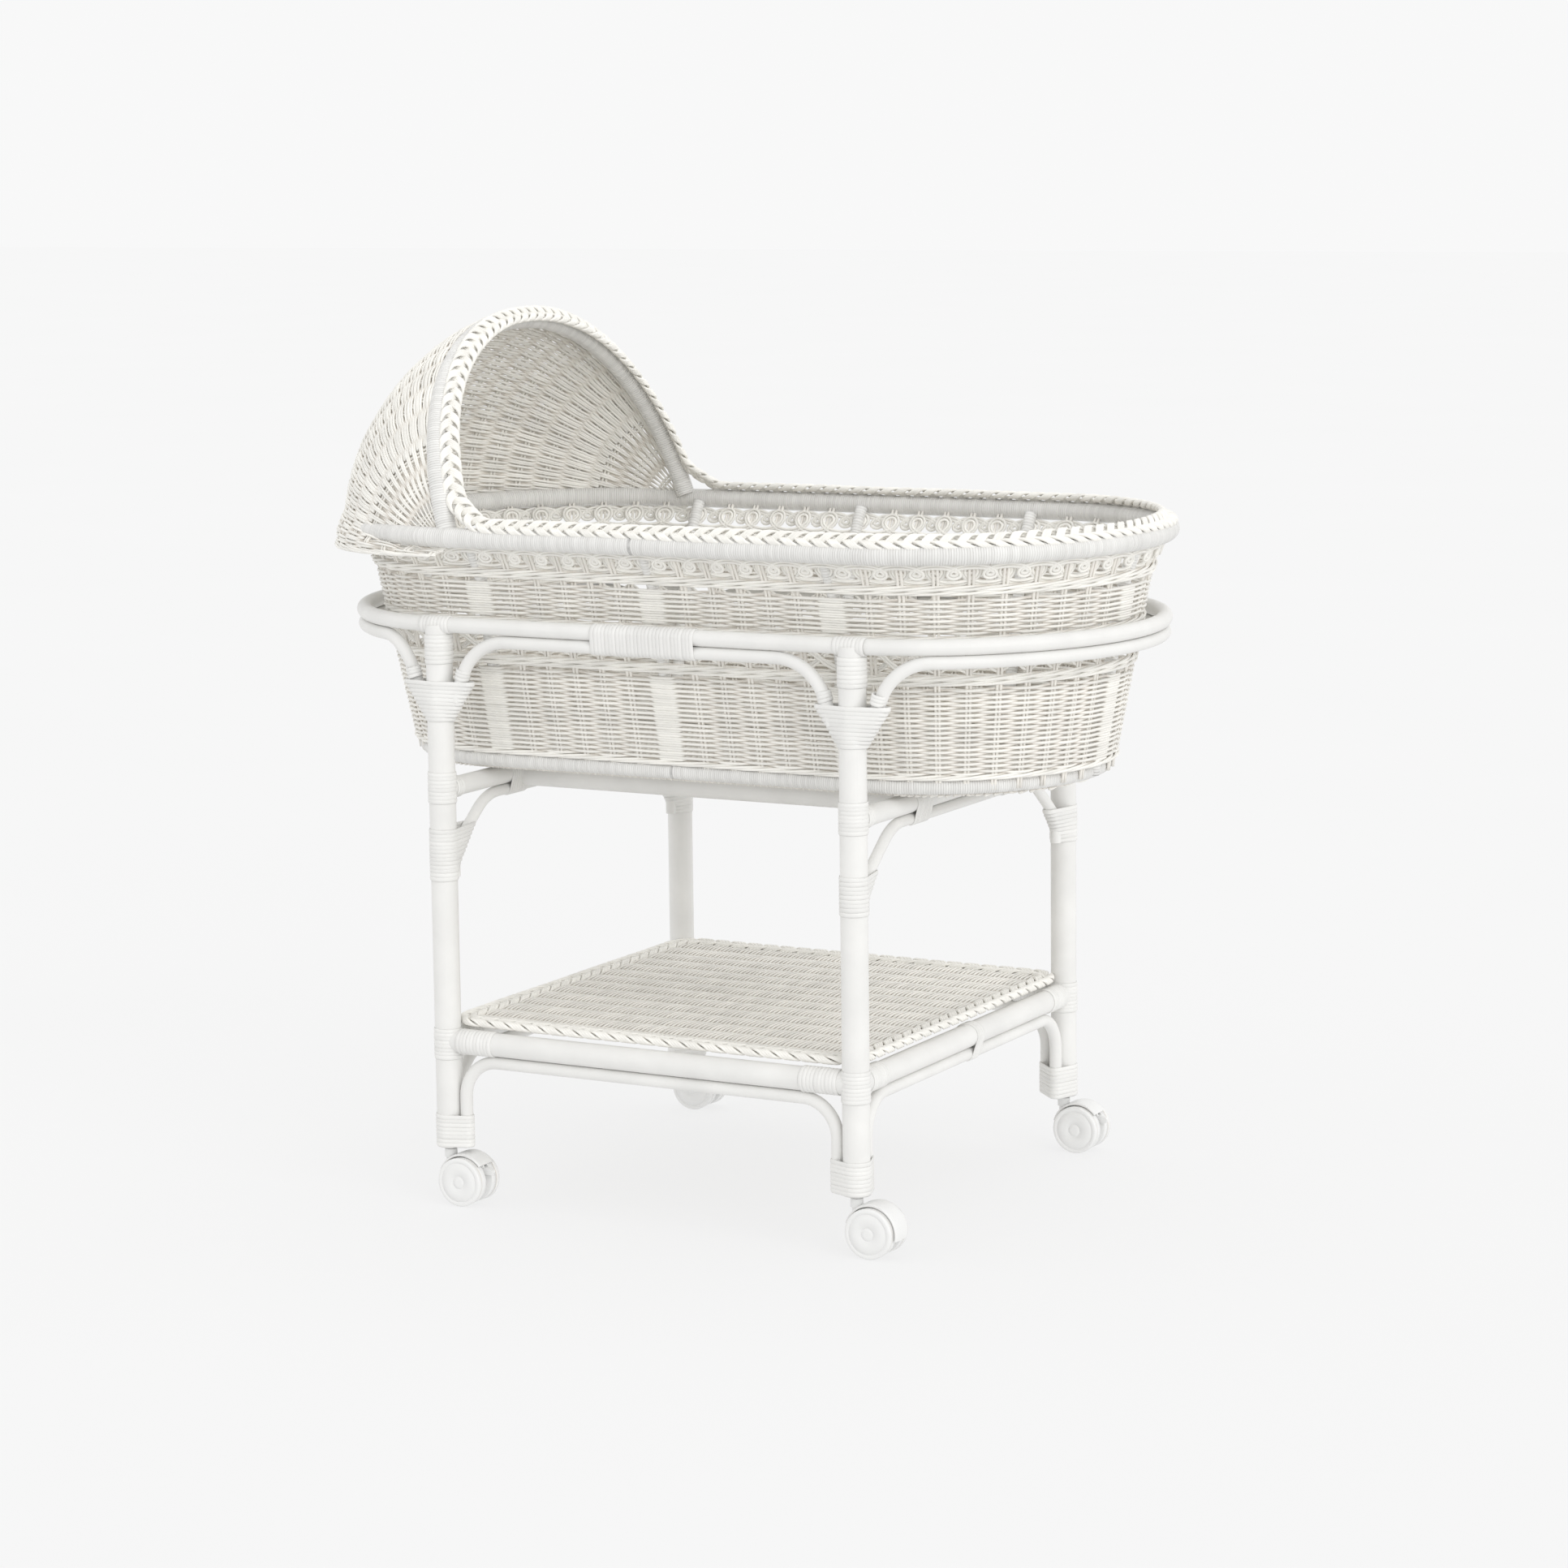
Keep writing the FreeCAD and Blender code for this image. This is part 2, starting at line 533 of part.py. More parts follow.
# --------------------------------------------------------------------- basket
def wall_size(z):
    """Half straight, cap and half width of the wall's outside at a height."""
    stations = [
        (BASE_RING_Z, (BASE_STRAIGHT, BASE_CAP + WALL_OVERHANG, BASE_HALF_WIDTH + WALL_OVERHANG)),
        (WALL_FLARE_Z, (RIM_STRAIGHT, WALL_FLARE_CAP, WALL_FLARE_HALF_WIDTH)),
        (WALL_TOP_Z, (RIM_STRAIGHT, RIM_CAP - WALL_TOP_INSET, RIM_HALF_WIDTH - WALL_TOP_INSET)),
    ]
    lower, upper = stations[0:2] if z <= WALL_FLARE_Z else stations[1:3]
    share = (z - lower[0]) / (upper[0] - lower[0])
    return [start + (end - start) * share for start, end in zip(lower[1], upper[1])]


def wall_oval(z, inset):
    straight, cap, half_width = wall_size(z)
    return oval(straight, cap - inset, half_width - inset, z)


def make_basket():
    rim = tube(oval(RIM_STRAIGHT, RIM_CAP, RIM_HALF_WIDTH, RIM_Z), RIM_R)
    base_ring = tube(oval(BASE_STRAIGHT, BASE_CAP, BASE_HALF_WIDTH, BASE_RING_Z), BASE_RING_R)
    nodes["rim_pole"] = rim
    nodes["base_ring"] = base_ring

    floor_outline = Part.Face(oval(BASE_STRAIGHT, BASE_CAP, BASE_HALF_WIDTH, FLOOR_BOTTOM_Z))
    ledge = floor_outline.extrude(V(0, 0, FLOOR_THICKNESS))
    clear = BASE_RING_R + FIT_GAP
    panel_outline = oval(BASE_STRAIGHT, BASE_CAP - clear, BASE_HALF_WIDTH - clear, FLOOR_BOTTOM_Z)
    panel = Part.Face(panel_outline).extrude(V(0, 0, FLOOR_THICKNESS + FLOOR_PANEL_RISE))
    nodes["basket_floor"] = ledge.fuse(panel).removeSplitter()

    heights = (BASE_RING_Z, WALL_FLARE_Z, WALL_TOP_Z)
    outside, inside = [Part.makeLoft([wall_oval(z, inset) for z in heights], True, True)
                       for inset in (0.0, WALL_THICKNESS)]
    posts = []
    for foot, head in zip(post_places(BASE_RING_Z), post_places(WALL_FLARE_Z)):
        posts.append(carve(bar(foot, head, POST_R), [base_ring, nodes["basket_floor"]]))
    nodes["wall_posts"] = Part.makeCompound(posts)
    nodes["basket_wall"] = carve(outside.cut(inside), [base_ring, rim] + posts)
    return rim


def post_places(z):
    """Middle of each post at a height: three along each side and one at each tip."""
    straight, cap, half_width = wall_size(z)
    inset = POST_SINK + POST_R
    side_x = min(BASE_STRAIGHT, RIM_STRAIGHT) - POST_INSET_X
    y = half_width - inset
    tip = straight + cap - inset
    sides = [V(x, way * y, z) for way in (-1, 1) for x in (-side_x, 0, side_x)]
    return sides + [V(-tip, 0, z), V(tip, 0, z)]


# ----------------------------------------------------------------------- hood
def hood_plane():
    """Middle of the hood's axis, its up direction and the opening's normal."""
    lean = math.radians(HOOD_LEAN_DEG)
    up = V(-math.sin(lean), 0, math.cos(lean))
    normal = V(math.cos(lean), 0, math.sin(lean))
    return V(HOOD_FOOT_X, 0, HOOD_AXIS_Z), up, normal


def hood_path(shift):
    """Arch over the hood's opening, moved along the opening's normal."""
    axis, up, normal = hood_plane()

    def place(p):
        return axis + normal * shift + up * p[0] + V(0, p[1], 0)

    return Part.Wire(stilted_arch(HOOD_REACH, HOOD_HALF_WIDTH, place))


def stilted_arch(reach, half_width, place):
    """Edges of an arch on two short straight feet."""
    first = Part.LineSegment(place((0.0, half_width)), place((HOOD_STILT, half_width)))
    last = Part.LineSegment(place((HOOD_STILT, -half_width)), place((0.0, -half_width)))
    arcs = end_edges(HOOD_STILT, reach - HOOD_STILT, half_width, place)
    return [first.toShape()] + arcs + [last.toShape()]


def above(z, shape):
    """The part of a shape above a height."""
    box = shape.BoundBox
    corner = V(box.XMin - CUT_ROOM, box.YMin - CUT_ROOM, z)
    keep = Part.makeBox(box.XLength + 2 * CUT_ROOM, box.YLength + 2 * CUT_ROOM,
                        box.ZMax - z + CUT_ROOM, corner)
    return shape.common(keep)


def make_hood(rim):
    pole = tube(hood_path(0.0), HOOD_POLE_R)
    nodes["hood_pole"] = carve(above(RIM_Z, pole), [rim])

    axis, up, normal = hood_plane()
    centre = V(HOOD_FOOT_X - HOOD_SKIN, 0, RIM_Z - HOOD_SKIN)
    lap = RIM_R + FIT_GAP + HOOD_SKIN
    reach = RIM_STRAIGHT + RIM_CAP + lap + centre.x
    width = RIM_HALF_WIDTH + lap
    tilt_axis = V(0, 1, 0)
    sweep = 90.0 + HOOD_LEAN_DEG + HOOD_SKIN_UNDER_DEG

    def place(p):
        return centre + V(-p[0], p[1], 0)

    shells = []
    for inset in (0.0, HOOD_SKIN):
        arch = stilted_arch(reach - inset, width - inset, place)
        close = Part.LineSegment(place((0.0, inset - width)), place((0.0, width - inset))).toShape()
        face = Part.Face(Part.Wire(arch + [close]))
        face.rotate(centre, tilt_axis, -HOOD_SKIN_UNDER_DEG)
        shells.append(face.revolve(centre, tilt_axis, sweep))
    outer, inner = shells
    room = 4 * HOOD_REACH
    front_room = Part.makeBox(room, room, room)
    front_room.translate(V(0, -room / 2, -room / 2))
    front_room.rotate(V(0, 0, 0), tilt_axis, -HOOD_LEAN_DEG)
    front_room.translate(axis - normal * HOOD_SKIN_EDGE)
    skin = above(RIM_Z - HOOD_SKIN_DROP, outer.cut(inner))
    nodes["hood_skin"] = carve(skin, [front_room, rim, pole, nodes["basket_wall"]])
    return pole


def make_braids(rim, pole):
    hood_braid = above(RIM_Z, tube(hood_path(BRAID_OFFSET), BRAID_R))
    nodes["hood_braid"] = carve(hood_braid, [rim, pole, nodes["hood_skin"]])
    z = RIM_Z + BRAID_OFFSET
    start_x = HOOD_FOOT_X + HOOD_POLE_R
    y = RIM_HALF_WIDTH
    front = Part.LineSegment(V(RIM_STRAIGHT, -y, z), V(start_x, -y, z)).toShape()
    back = Part.LineSegment(V(start_x, y, z), V(RIM_STRAIGHT, y, z)).toShape()
    arcs = end_edges(RIM_STRAIGHT, RIM_CAP, RIM_HALF_WIDTH, lambda p: V(p[0], p[1], z))
    braid = tube(Part.Wire([back] + arcs + [front]), BRAID_R)
    hood_pieces = [nodes["hood_braid"], nodes["hood_pole"], nodes["hood_skin"]]
    nodes["rim_braid"] = carve(braid, [rim] + hood_pieces)


# -------------------------------------------------------------------- casters
def make_stems():
    stems, sockets = [], []
    for sx, sy in LEG_CORNERS.values():
        x, y = sx * LEG_HALF_X, sy * LEG_HALF_Y
        top = LEG_BOTTOM_Z + STEM_DEPTH
        stem = Part.makeCylinder(STEM_R, top - STEM_BOTTOM_Z, V(x, y, STEM_BOTTOM_Z))
        low = LEG_BOTTOM_Z - SOCKET_FLANGE - WASHER
        stems.append(stem.fuse(Part.makeCylinder(WASHER_R, WASHER, V(x, y, low))))
        sleeve = Part.makeCylinder(SOCKET_R, STEM_DEPTH, V(x, y, LEG_BOTTOM_Z))
        flange_at = V(x, y, LEG_BOTTOM_Z - SOCKET_FLANGE)
        flange = Part.makeCylinder(SOCKET_FLANGE_R, SOCKET_FLANGE, flange_at)
        hole = Part.makeCylinder(STEM_R, STEM_DEPTH + SOCKET_FLANGE, flange_at)
        sockets.append(sleeve.fuse(flange).cut(hole))
    nodes["caster_stems"] = Part.makeCompound(stems)
    nodes["caster_sockets"] = Part.makeCompound(sockets)


def sector(radius, low_deg, high_deg, half_width, at):
    """Wedge of a disc about a sideways axis, angles from the trailing side up."""
    wedge = Part.makeCylinder(radius, 2 * half_width, V(0, 0, 0), V(0, 0, 1), high_deg - low_deg)
    wedge.rotate(V(0, 0, 0), V(0, 0, 1), low_deg)
    wedge.rotate(V(0, 0, 0), V(1, 0, 0), 90)
    wedge.translate(at + V(0, half_width, 0))
    return wedge


def make_caster(name, sx, sy):
    stem = V(sx * LEG_HALF_X, sy * LEG_HALF_Y, 0)
    axle_at = stem + V(TRAIL, 0, WHEEL_R)
    side = V(0, 1, 0)
    fender_r = WHEEL_R + FENDER_GAP
    top_r = fender_r + FENDER_WALL

    plate = sector(top_r, FENDER_BACK_DEG, PLATE_FRONT_DEG, PLATE_HALF, axle_at)
    hub = Part.makeCylinder(HUB_R, 2 * PLATE_HALF, axle_at - side * PLATE_HALF, side)
    fender = sector(top_r, FENDER_BACK_DEG, FENDER_FRONT_DEG, FENDER_HALF_WIDTH, axle_at)
    fender = fender.cut(sector(fender_r, FENDER_BACK_DEG - FENDER_CUT_DEG,
                               FENDER_FRONT_DEG + FENDER_CUT_DEG, FENDER_HALF_WIDTH, axle_at))
    collar_top = LEG_BOTTOM_Z - SOCKET_FLANGE - WASHER - COLLAR_TOP_GAP
    collar_low = WHEEL_R + math.sqrt(fender_r ** 2 - (TRAIL - COLLAR_R) ** 2)
    collar = Part.makeCylinder(COLLAR_R, collar_top - collar_low, stem + V(0, 0, collar_low))
    neck_low = STEM_BOTTOM_Z - NECK_DROP
    neck = Part.makeCylinder(PLATE_HALF, collar_low - neck_low, stem + V(0, 0, neck_low))
    housing = plate.fuse([hub, fender, collar, neck])
    stem_room = Part.makeCylinder(STEM_R + RUNNING_GAP, LEG_BOTTOM_Z,
                                  stem + V(0, 0, STEM_BOTTOM_Z - COLLAR_TOP_GAP))
    axle_hole = Part.makeCylinder(AXLE_R, 2 * PLATE_HALF, axle_at - side * PLATE_HALF, side)

    pivot = axle_at + V(LEVER_PIVOT[0], 0, LEVER_PIVOT[1])
    if name in BRAKED:
        knuckle_r = LEVER_R + LEVER_KNUCKLE
        slot_half = LEVER_HALF + FIT_GAP
        knuckle = sector(fender_r, KNUCKLE_BACK_DEG, FENDER_BACK_DEG, PLATE_HALF, axle_at)
        knuckle = knuckle.common(
            Part.makeCylinder(knuckle_r, 2 * PLATE_HALF, pivot - side * PLATE_HALF, side))
        cheeks = sector(fender_r, CHEEK_BACK_DEG, FENDER_BACK_DEG, PLATE_HALF, axle_at)
        swept = Part.makeCylinder(knuckle_r + LEVER_SWING_GAP, 2 * slot_half,
                                  pivot - side * slot_half, side)
        slot = Part.makeBox(LEVER_REACH, 2 * slot_half, 6 * LEVER_R,
                            pivot - V(0, slot_half, 4 * LEVER_R))
        pin_hole = Part.makeCylinder(LEVER_PIN_R + RUNNING_GAP, 2 * PLATE_HALF,
                                     pivot - side * PLATE_HALF, side)
        housing = carve(housing.fuse([cheeks, knuckle]), [swept, slot, pin_hole])
    else:
        housing = housing.fuse(sector(top_r, PLATE_BACK_DEG, FENDER_BACK_DEG, PLATE_HALF, axle_at))
    nodes["caster_housing_" + name] = carve(housing, [stem_room, axle_hole]).removeSplitter()

    half_axle = PLATE_HALF + WHEEL_GAP + WHEEL_WIDTH - AXLE_END_INSET
    nodes["caster_axle_" + name] = Part.makeCylinder(AXLE_R, 2 * half_axle, axle_at - side * half_axle, side)

    for label, way in (("left", -1), ("right", 1)):
        inner = axle_at + side * (way * (PLATE_HALF + WHEEL_GAP))
        wheel = Part.makeCylinder(WHEEL_R, WHEEL_WIDTH, inner, side * way)
        rims = [edge for edge in wheel.Edges if edge.Closed]
        wheel = wheel.makeFillet(WHEEL_EDGE_R, rims)
        bore = Part.makeCylinder(AXLE_R + RUNNING_GAP, WHEEL_WIDTH - BORE_END_WALL, inner, side * way)
        nodes["wheel_%s_%s" % (name, label)] = wheel.cut(bore)
    return pivot


def make_lever(name, pivot):
    side = V(0, 1, 0)
    reach = LEVER_REACH - LEVER_PIVOT[0]
    outline = belt([(0.0, 0.0, LEVER_R), (reach - LEVER_R, -LEVER_DROP, LEVER_TIP_R)],
                   lambda p: V(pivot.x + p[0], pivot.y - LEVER_HALF, pivot.z + p[1]))
    blade = Part.Face(outline).extrude(side * 2 * LEVER_HALF)
    pin = Part.makeCylinder(LEVER_PIN_R, 2 * PLATE_HALF, pivot - side * PLATE_HALF, side)
    nodes["brake_lever_" + name] = blade.fuse(pin).removeSplitter()


def main():
    ring = make_ring()
    make_legs(ring)
    make_ring_arches()
    make_side_arches()
    make_rails()
    make_shelf_arches()
    make_shelf()
    make_bindings()
    rim = make_basket()
    pole = make_hood(rim)
    make_braids(rim, pole)
    make_stems()
    for name, (sx, sy) in LEG_CORNERS.items():
        pivot = make_caster(name, sx, sy)
        if name in BRAKED:
            make_lever(name, pivot)
    os.makedirs("parts", exist_ok=True)
    for name, shape in nodes.items():
        shape.exportStep("parts/%s.step" % name)
        print(name, shape.ShapeType, len(shape.Solids), round(shape.Volume), shape.isValid())


main()
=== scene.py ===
"""Looks for the wicker bassinet on its wheeled stand.

The rattan poles keep the solid parts' own meshes. The woven, plaited and wrapped work is made
here strand by strand, in millimetres, in the same frame, and rides on the same bodies.
"""
import math

import bpy
import numpy as np
from bpy.props import FloatProperty, FloatVectorProperty, PointerProperty
from mathutils import Matrix, Vector


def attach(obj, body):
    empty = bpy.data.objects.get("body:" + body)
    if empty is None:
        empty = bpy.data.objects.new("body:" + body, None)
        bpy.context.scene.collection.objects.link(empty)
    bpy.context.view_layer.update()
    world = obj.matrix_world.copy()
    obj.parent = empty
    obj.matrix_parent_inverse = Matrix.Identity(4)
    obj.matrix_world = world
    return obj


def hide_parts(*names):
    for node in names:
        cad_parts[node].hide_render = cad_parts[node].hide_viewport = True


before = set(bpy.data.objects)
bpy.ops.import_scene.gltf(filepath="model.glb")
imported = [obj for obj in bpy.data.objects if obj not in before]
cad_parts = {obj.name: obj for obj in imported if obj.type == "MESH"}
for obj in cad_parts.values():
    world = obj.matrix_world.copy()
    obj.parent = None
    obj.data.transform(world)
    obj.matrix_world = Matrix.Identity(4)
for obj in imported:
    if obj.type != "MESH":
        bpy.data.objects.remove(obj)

bl_info = {
    "name": "Wicker Bassinet",
    "version": (1, 0, 0),
    "blender": (4, 5, 0),
    "location": "View3D > Sidebar > Bassinet",
    "description": "Weaves the basket, hood and shelf of a bassinet and dresses its stand",
    "category": "Object",
}

MM = 0.001
WEAVE_HALF = 3.4             # from the middle of a weave to its outermost strands
CORNERS = {
    "front_head": (-1, -1),
    "back_head": (-1, 1),
    "front_foot": (1, -1),
    "back_foot": (1, 1),
}
BRAKED = ("front_head", "back_foot")
POLE_NODES = (
    ["leg_" + c for c in CORNERS]
    + ["ring_arch_" + e for e in ("front", "back", "head", "foot")]
    + ["shelf_rail_" + e for e in ("front", "back", "head", "foot")]
    + ["shelf_arch_" + e for e in ("front", "back", "head", "foot")]
    + ["top_ring", "side_rail_head", "side_rail_foot", "side_arches", "cradle_rails"]
)

# Heights of the basket, all in mm above the floor.
BASE_RING_Z = 449.8
BASE_RING_R = 8.0
RIM_Z = 682.0
RIM_R = 10.0
RIM_OVAL = (226.0, 207.0, 245.0)
BASE_OVAL = (210.0, 162.0, 172.0)
WALL_LEVELS = (449.0, 640.0, 672.0, 678.0)
WALL_STRAIGHTS = (210.0, 226.0, 226.0, 226.0)
WALL_CAPS = (171.6, 189.6, 200.6, 202.7)
WALL_HALVES = (174.6, 216.6, 234.6, 238.0)
NODES = 64
NODE_MM = 31.0
POST_NODES = (0, 6, 16, 26, 32, 38, 48, 58)
SIDE_BAY = (0.0, 0.19, 0.345, 0.5, 0.655, 0.81)
END_BAY = (0.0, 0.116, 0.212, 0.308, 0.404, 0.5, 0.596, 0.692, 0.788, 0.884)
BAY_PLAN = (SIDE_BAY, END_BAY, END_BAY, SIDE_BAY) * 2
SIDE_POST_X = 200.0
LOWER_WEAVE = (463.0, 551.0)
UPPER_WEAVE = (603.5, 640.0)
LOW_OPENWORK_Z = 574.0
HIGH_OPENWORK_Z = 660.5
WALE_LEVELS = (459.5, 554.5, 559.0, 593.0, 598.0, 644.5, 648.5)
STAKE_LOW, STAKE_HIGH = 446.0, 677.0
STAKE_PAIR = 1.9             # half the spacing of the two rods of a stake
POST_LIFT = -4.9             # posts stand on the inner face
POST_R = 6.3
LOOP_FAMILIES = (            # sweep, rise, height above the middle, lift
    (14.0, 9.5, 0.0, -2.0),  # rings round the stakes
    (-11.0, 5.5, 5.5, 2.5),  # arcs under the rim
)

# Hood, as a fan of arches that tip back about a line through the two feet.
HOOD_CENTRE = (-212.0, 0.0, 665.0)
HOOD_TIP_DEG = 73.0
HOOD_PAIRS = 24
HOOD_LEAN_DEG = 17.0
HOOD_ARCH_Z = 659.0
HOOD_ARCH_RISE = 238.5
HOOD_ROUND = 2 / 2.2         # below one, the arch is squarer than an ellipse
PLAIT_FOOT_X = -182.0        # where the plait leaves the rim for the hood
PLAIT_FOOT_Z = 716.0

# Stand.
LEG_X = 234.0
LEG_Y = 239.0
LEG_R = 13.5
RING_Z = 594.0
RING_R = 8.0
RING_Y = 241.0
ARCH_R = 6.5
SIDE_RAIL_Z = 426.0
SIDE_RAIL_R = 10.0
SIDE_ARCH_Z = 409.95
SIDE_ARCH_R = 5.75
SHELF_RAIL_Z = 168.0
SHELF_RAIL_R = 12.0
SHELF_ARCH_Z = 149.2
DECK_Z = 186.5
DECK_HALF = (226.0, 230.0)
DECK_CORNER = 36.0


# ------------------------------------------------------------------ settings
class BassinetSettings(bpy.types.PropertyGroup):
    """Sizes and colours of the woven work."""

    strand_pitch: FloatProperty(
        name="Strand pitch", description="Height taken by one woven strand",
        default=2.47 * MM, unit="LENGTH")
    strand_radius: FloatProperty(
        name="Strand radius", description="Half the thickness of a woven strand",
        default=1.5 * MM, unit="LENGTH")
    weave_depth: FloatProperty(
        name="Weave depth", description="How far a strand swings to each side of the stakes",
        default=1.9 * MM, unit="LENGTH")
    stake_radius: FloatProperty(
        name="Stake radius", description="Half the thickness of an upright stake",
        default=1.6 * MM, unit="LENGTH")
    cane_width: FloatProperty(
        name="Cane width", description="Width of the flat cane wound round the joints",
        default=4.1 * MM, unit="LENGTH")
    wrap_pitch: FloatProperty(
        name="Wrap pitch", description="Width of one turn of the fine cane on the rim",
        default=2.5 * MM, unit="LENGTH")
    paint: FloatVectorProperty(
        name="Paint", description="White paint on the poles and the cane",
        default=(0.77, 0.765, 0.745), subtype="COLOR", min=0, max=1)
    wicker_paint: FloatVectorProperty(
        name="Wicker paint", description="White paint on the woven strands",
        default=(0.86, 0.845, 0.80), subtype="COLOR", min=0, max=1)
    # Bare cane tone: the under-colour where the paint wears thin, and also painted shade deep in the weave
    # and in the grooves between turns of wound cane.
    bare_cane_and_crevice_shade: FloatVectorProperty(
        name="Bare cane and shade", description="Thinly painted cane deep in the weave",
        default=(0.47, 0.38, 0.29), subtype="COLOR", min=0, max=1)
    plastic: FloatVectorProperty(
        name="Plastic", description="Moulded plastic of the casters",
        default=(0.78, 0.78, 0.77), subtype="COLOR", min=0, max=1)
    steel: FloatVectorProperty(
        name="Steel", description="Caster stems and axles",
        default=(0.52, 0.51, 0.50), subtype="COLOR", min=0, max=1)
    backdrop: FloatVectorProperty(
        name="Backdrop", description="Floor and backdrop colour",
        default=(0.94, 0.94, 0.94), subtype="COLOR", min=0, max=1)


# ------------------------------------------------------------------ geometry
def unit(vectors):
    """Vectors scaled to length one."""
    return vectors / np.maximum(np.linalg.norm(vectors, axis=-1, keepdims=True), 1e-9)


def along_path(points, closed):
    """Running length at each sample of each path, and the unit tangents."""
    if closed:
        tangent = np.roll(points, -1, axis=-2) - np.roll(points, 1, axis=-2)
    else:
        tangent = np.gradient(points, axis=-2)
    step = np.linalg.norm(np.diff(points, axis=-2), axis=-1)
    run = np.concatenate([np.zeros(step.shape[:-1] + (1,)), np.cumsum(step, axis=-1)], axis=-1)
    return run, unit(tangent)


class Batch:
    """Collects strands of one piece and turns them into a single mesh."""

    def __init__(self, seed=1):
        self.points = []
        self.faces = []
        self.values = {"along": [], "crevice_shade": [], "shade": []}
        self.count = 0
        self.random = np.random.default_rng(seed)

    def grid(self, points, along, crevice_shade, shade, wrap_rows, wrap_sides, caps=False):
        """Adds sheets of quads given as (sheets, rows, sides, 3)."""
        sheets, rows, sides = points.shape[:3]
        index = np.arange(sheets * rows * sides).reshape(sheets, rows, sides) + self.count
        ahead = np.roll(index, -1, axis=1) if wrap_rows else index[:, 1:]
        here = index if wrap_rows else index[:, :-1]
        if wrap_sides:
            quads = [here, np.roll(here, -1, axis=2), np.roll(ahead, -1, axis=2), ahead]
        else:
            quads = [here[:, :, :-1], here[:, :, 1:], ahead[:, :, 1:], ahead[:, :, :-1]]
        self.faces.append(np.stack(quads, axis=-1).reshape(-1, 4))
        if caps:
            self.faces.append(index[:, 0, ::-1])
            self.faces.append(index[:, -1, :])
        self.points.append(points.reshape(-1, 3))
        shape = (sheets, rows, sides)
        for name, value in (("along", along), ("crevice_shade", crevice_shade), ("shade", shade)):
            self.values[name].append(np.broadcast_to(value, shape).reshape(-1))
        self.count += sheets * rows * sides

    def tubes(self, paths, normals, radius, closed=False, sides=6, flat=1.0, crevice_shade=0.0, shade=None,
              lift=None):
        """Round or flattened rods along paths of shape (count, samples, 3)."""
        paths = np.asarray(paths, float)
        if paths.ndim == 2:
            paths = paths[None]
        run, tangent = along_path(paths, closed)
        normal = np.broadcast_to(np.asarray(normals, float), paths.shape)
        normal = unit(normal - (normal * tangent).sum(-1, keepdims=True) * tangent)
        across = np.cross(tangent, normal)
        turn = np.linspace(0, 2 * math.pi, sides, endpoint=False)
        radius = np.broadcast_to(np.asarray(radius, float), paths.shape[:2])[..., None, None]
        ring = (np.cos(turn)[:, None] * normal[:, :, None, :] * radius * flat
                + np.sin(turn)[:, None] * across[:, :, None, :] * radius)
        if shade is None:
            shade = self.random.random((len(paths), 1, 1))
        crevice_shade = np.asarray(crevice_shade, float)
        crevice_shade = crevice_shade[..., None] if crevice_shade.ndim else crevice_shade
        # Painted shade: the deeper a point sits between the two faces of the weave, the more crevice shade it
        # gets (1 at the middle, 0 at the outermost strands).
        if lift is not None:
            off = np.abs(lift[..., None] + np.cos(turn) * radius[..., 0] * flat)
            crevice_shade = 1.0 - np.clip(off / WEAVE_HALF, 0, 1)
        self.grid(paths[:, :, None, :] + ring, run[..., None], crevice_shade, shade, closed, True, not closed)

    def lathe(self, profile, origin, axis, start, low_deg=0.0, high_deg=360.0, steps=48, crevice_shade=0.0):
        """A profile of (radius, height) spun about an axis through origin."""
        profile = np.asarray(profile, float)
        whole = high_deg - low_deg >= 360.0
        angle = np.radians(np.linspace(low_deg, high_deg, steps, endpoint=not whole))
        axis, start = unit(np.array(axis, float)), unit(np.array(start, float))
        side = np.cross(axis, start)
        arm = np.cos(angle)[:, None] * start + np.sin(angle)[:, None] * side
        points = (np.asarray(origin, float) + arm[:, None, :] * profile[None, :, :1]
                  + axis * profile[None, :, 1:2])
        crevice_shade = np.broadcast_to(np.asarray(crevice_shade, float), (len(profile),))
        self.grid(points[None], profile[None, None, :, 0], crevice_shade[None, None, :], 0.5, whole, False)

    def build(self, name, material, body, replaces=(), slot=None, smooth=True):
        """Makes the object, seats it on its body and hides the solids it stands for."""
        points = np.concatenate(self.points) * MM
        mesh = bpy.data.meshes.new(name)
        mesh.vertices.add(len(points))
        mesh.vertices.foreach_set("co", points.astype(np.float32).ravel())
        sizes = np.concatenate([np.full(len(f), f.shape[1]) for f in self.faces])
        corners = np.concatenate([f.ravel() for f in self.faces])
        mesh.loops.add(len(corners))
        mesh.loops.foreach_set("vertex_index", corners.astype(np.int32))
        mesh.polygons.add(len(sizes))
        starts = np.concatenate([[0], np.cumsum(sizes)[:-1]])
        mesh.polygons.foreach_set("loop_start", starts.astype(np.int32))
        mesh.polygons.foreach_set("use_smooth", np.full(len(sizes), smooth))
        mesh.update(calc_edges=True)
        for key, value in self.values.items():
            scale = MM if key == "along" else 1.0
            made = mesh.attributes.new(key, "FLOAT", "POINT")
            made.data.foreach_set("value", (np.concatenate(value) * scale).astype(np.float32))
        mesh.materials.append(material)
        made = bpy.data.objects.new(name, mesh)
        bpy.context.scene.collection.objects.link(made)
        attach(made, body)
        if replaces:
            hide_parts(*replaces)
        return made


def oval_line(straight, cap, half, samples=960):
    """Closed oval of straight sides and elliptic ends, from the front middle towards +X."""
    turn = np.linspace(-math.pi / 2, math.pi / 2, samples)
    foot = np.stack([straight + cap * np.cos(turn), half * np.sin(turn)], -1)
    head = -foot
    line = np.concatenate([[[0.0, -half]], foot, head, [[0.0, -half]]])
    return line


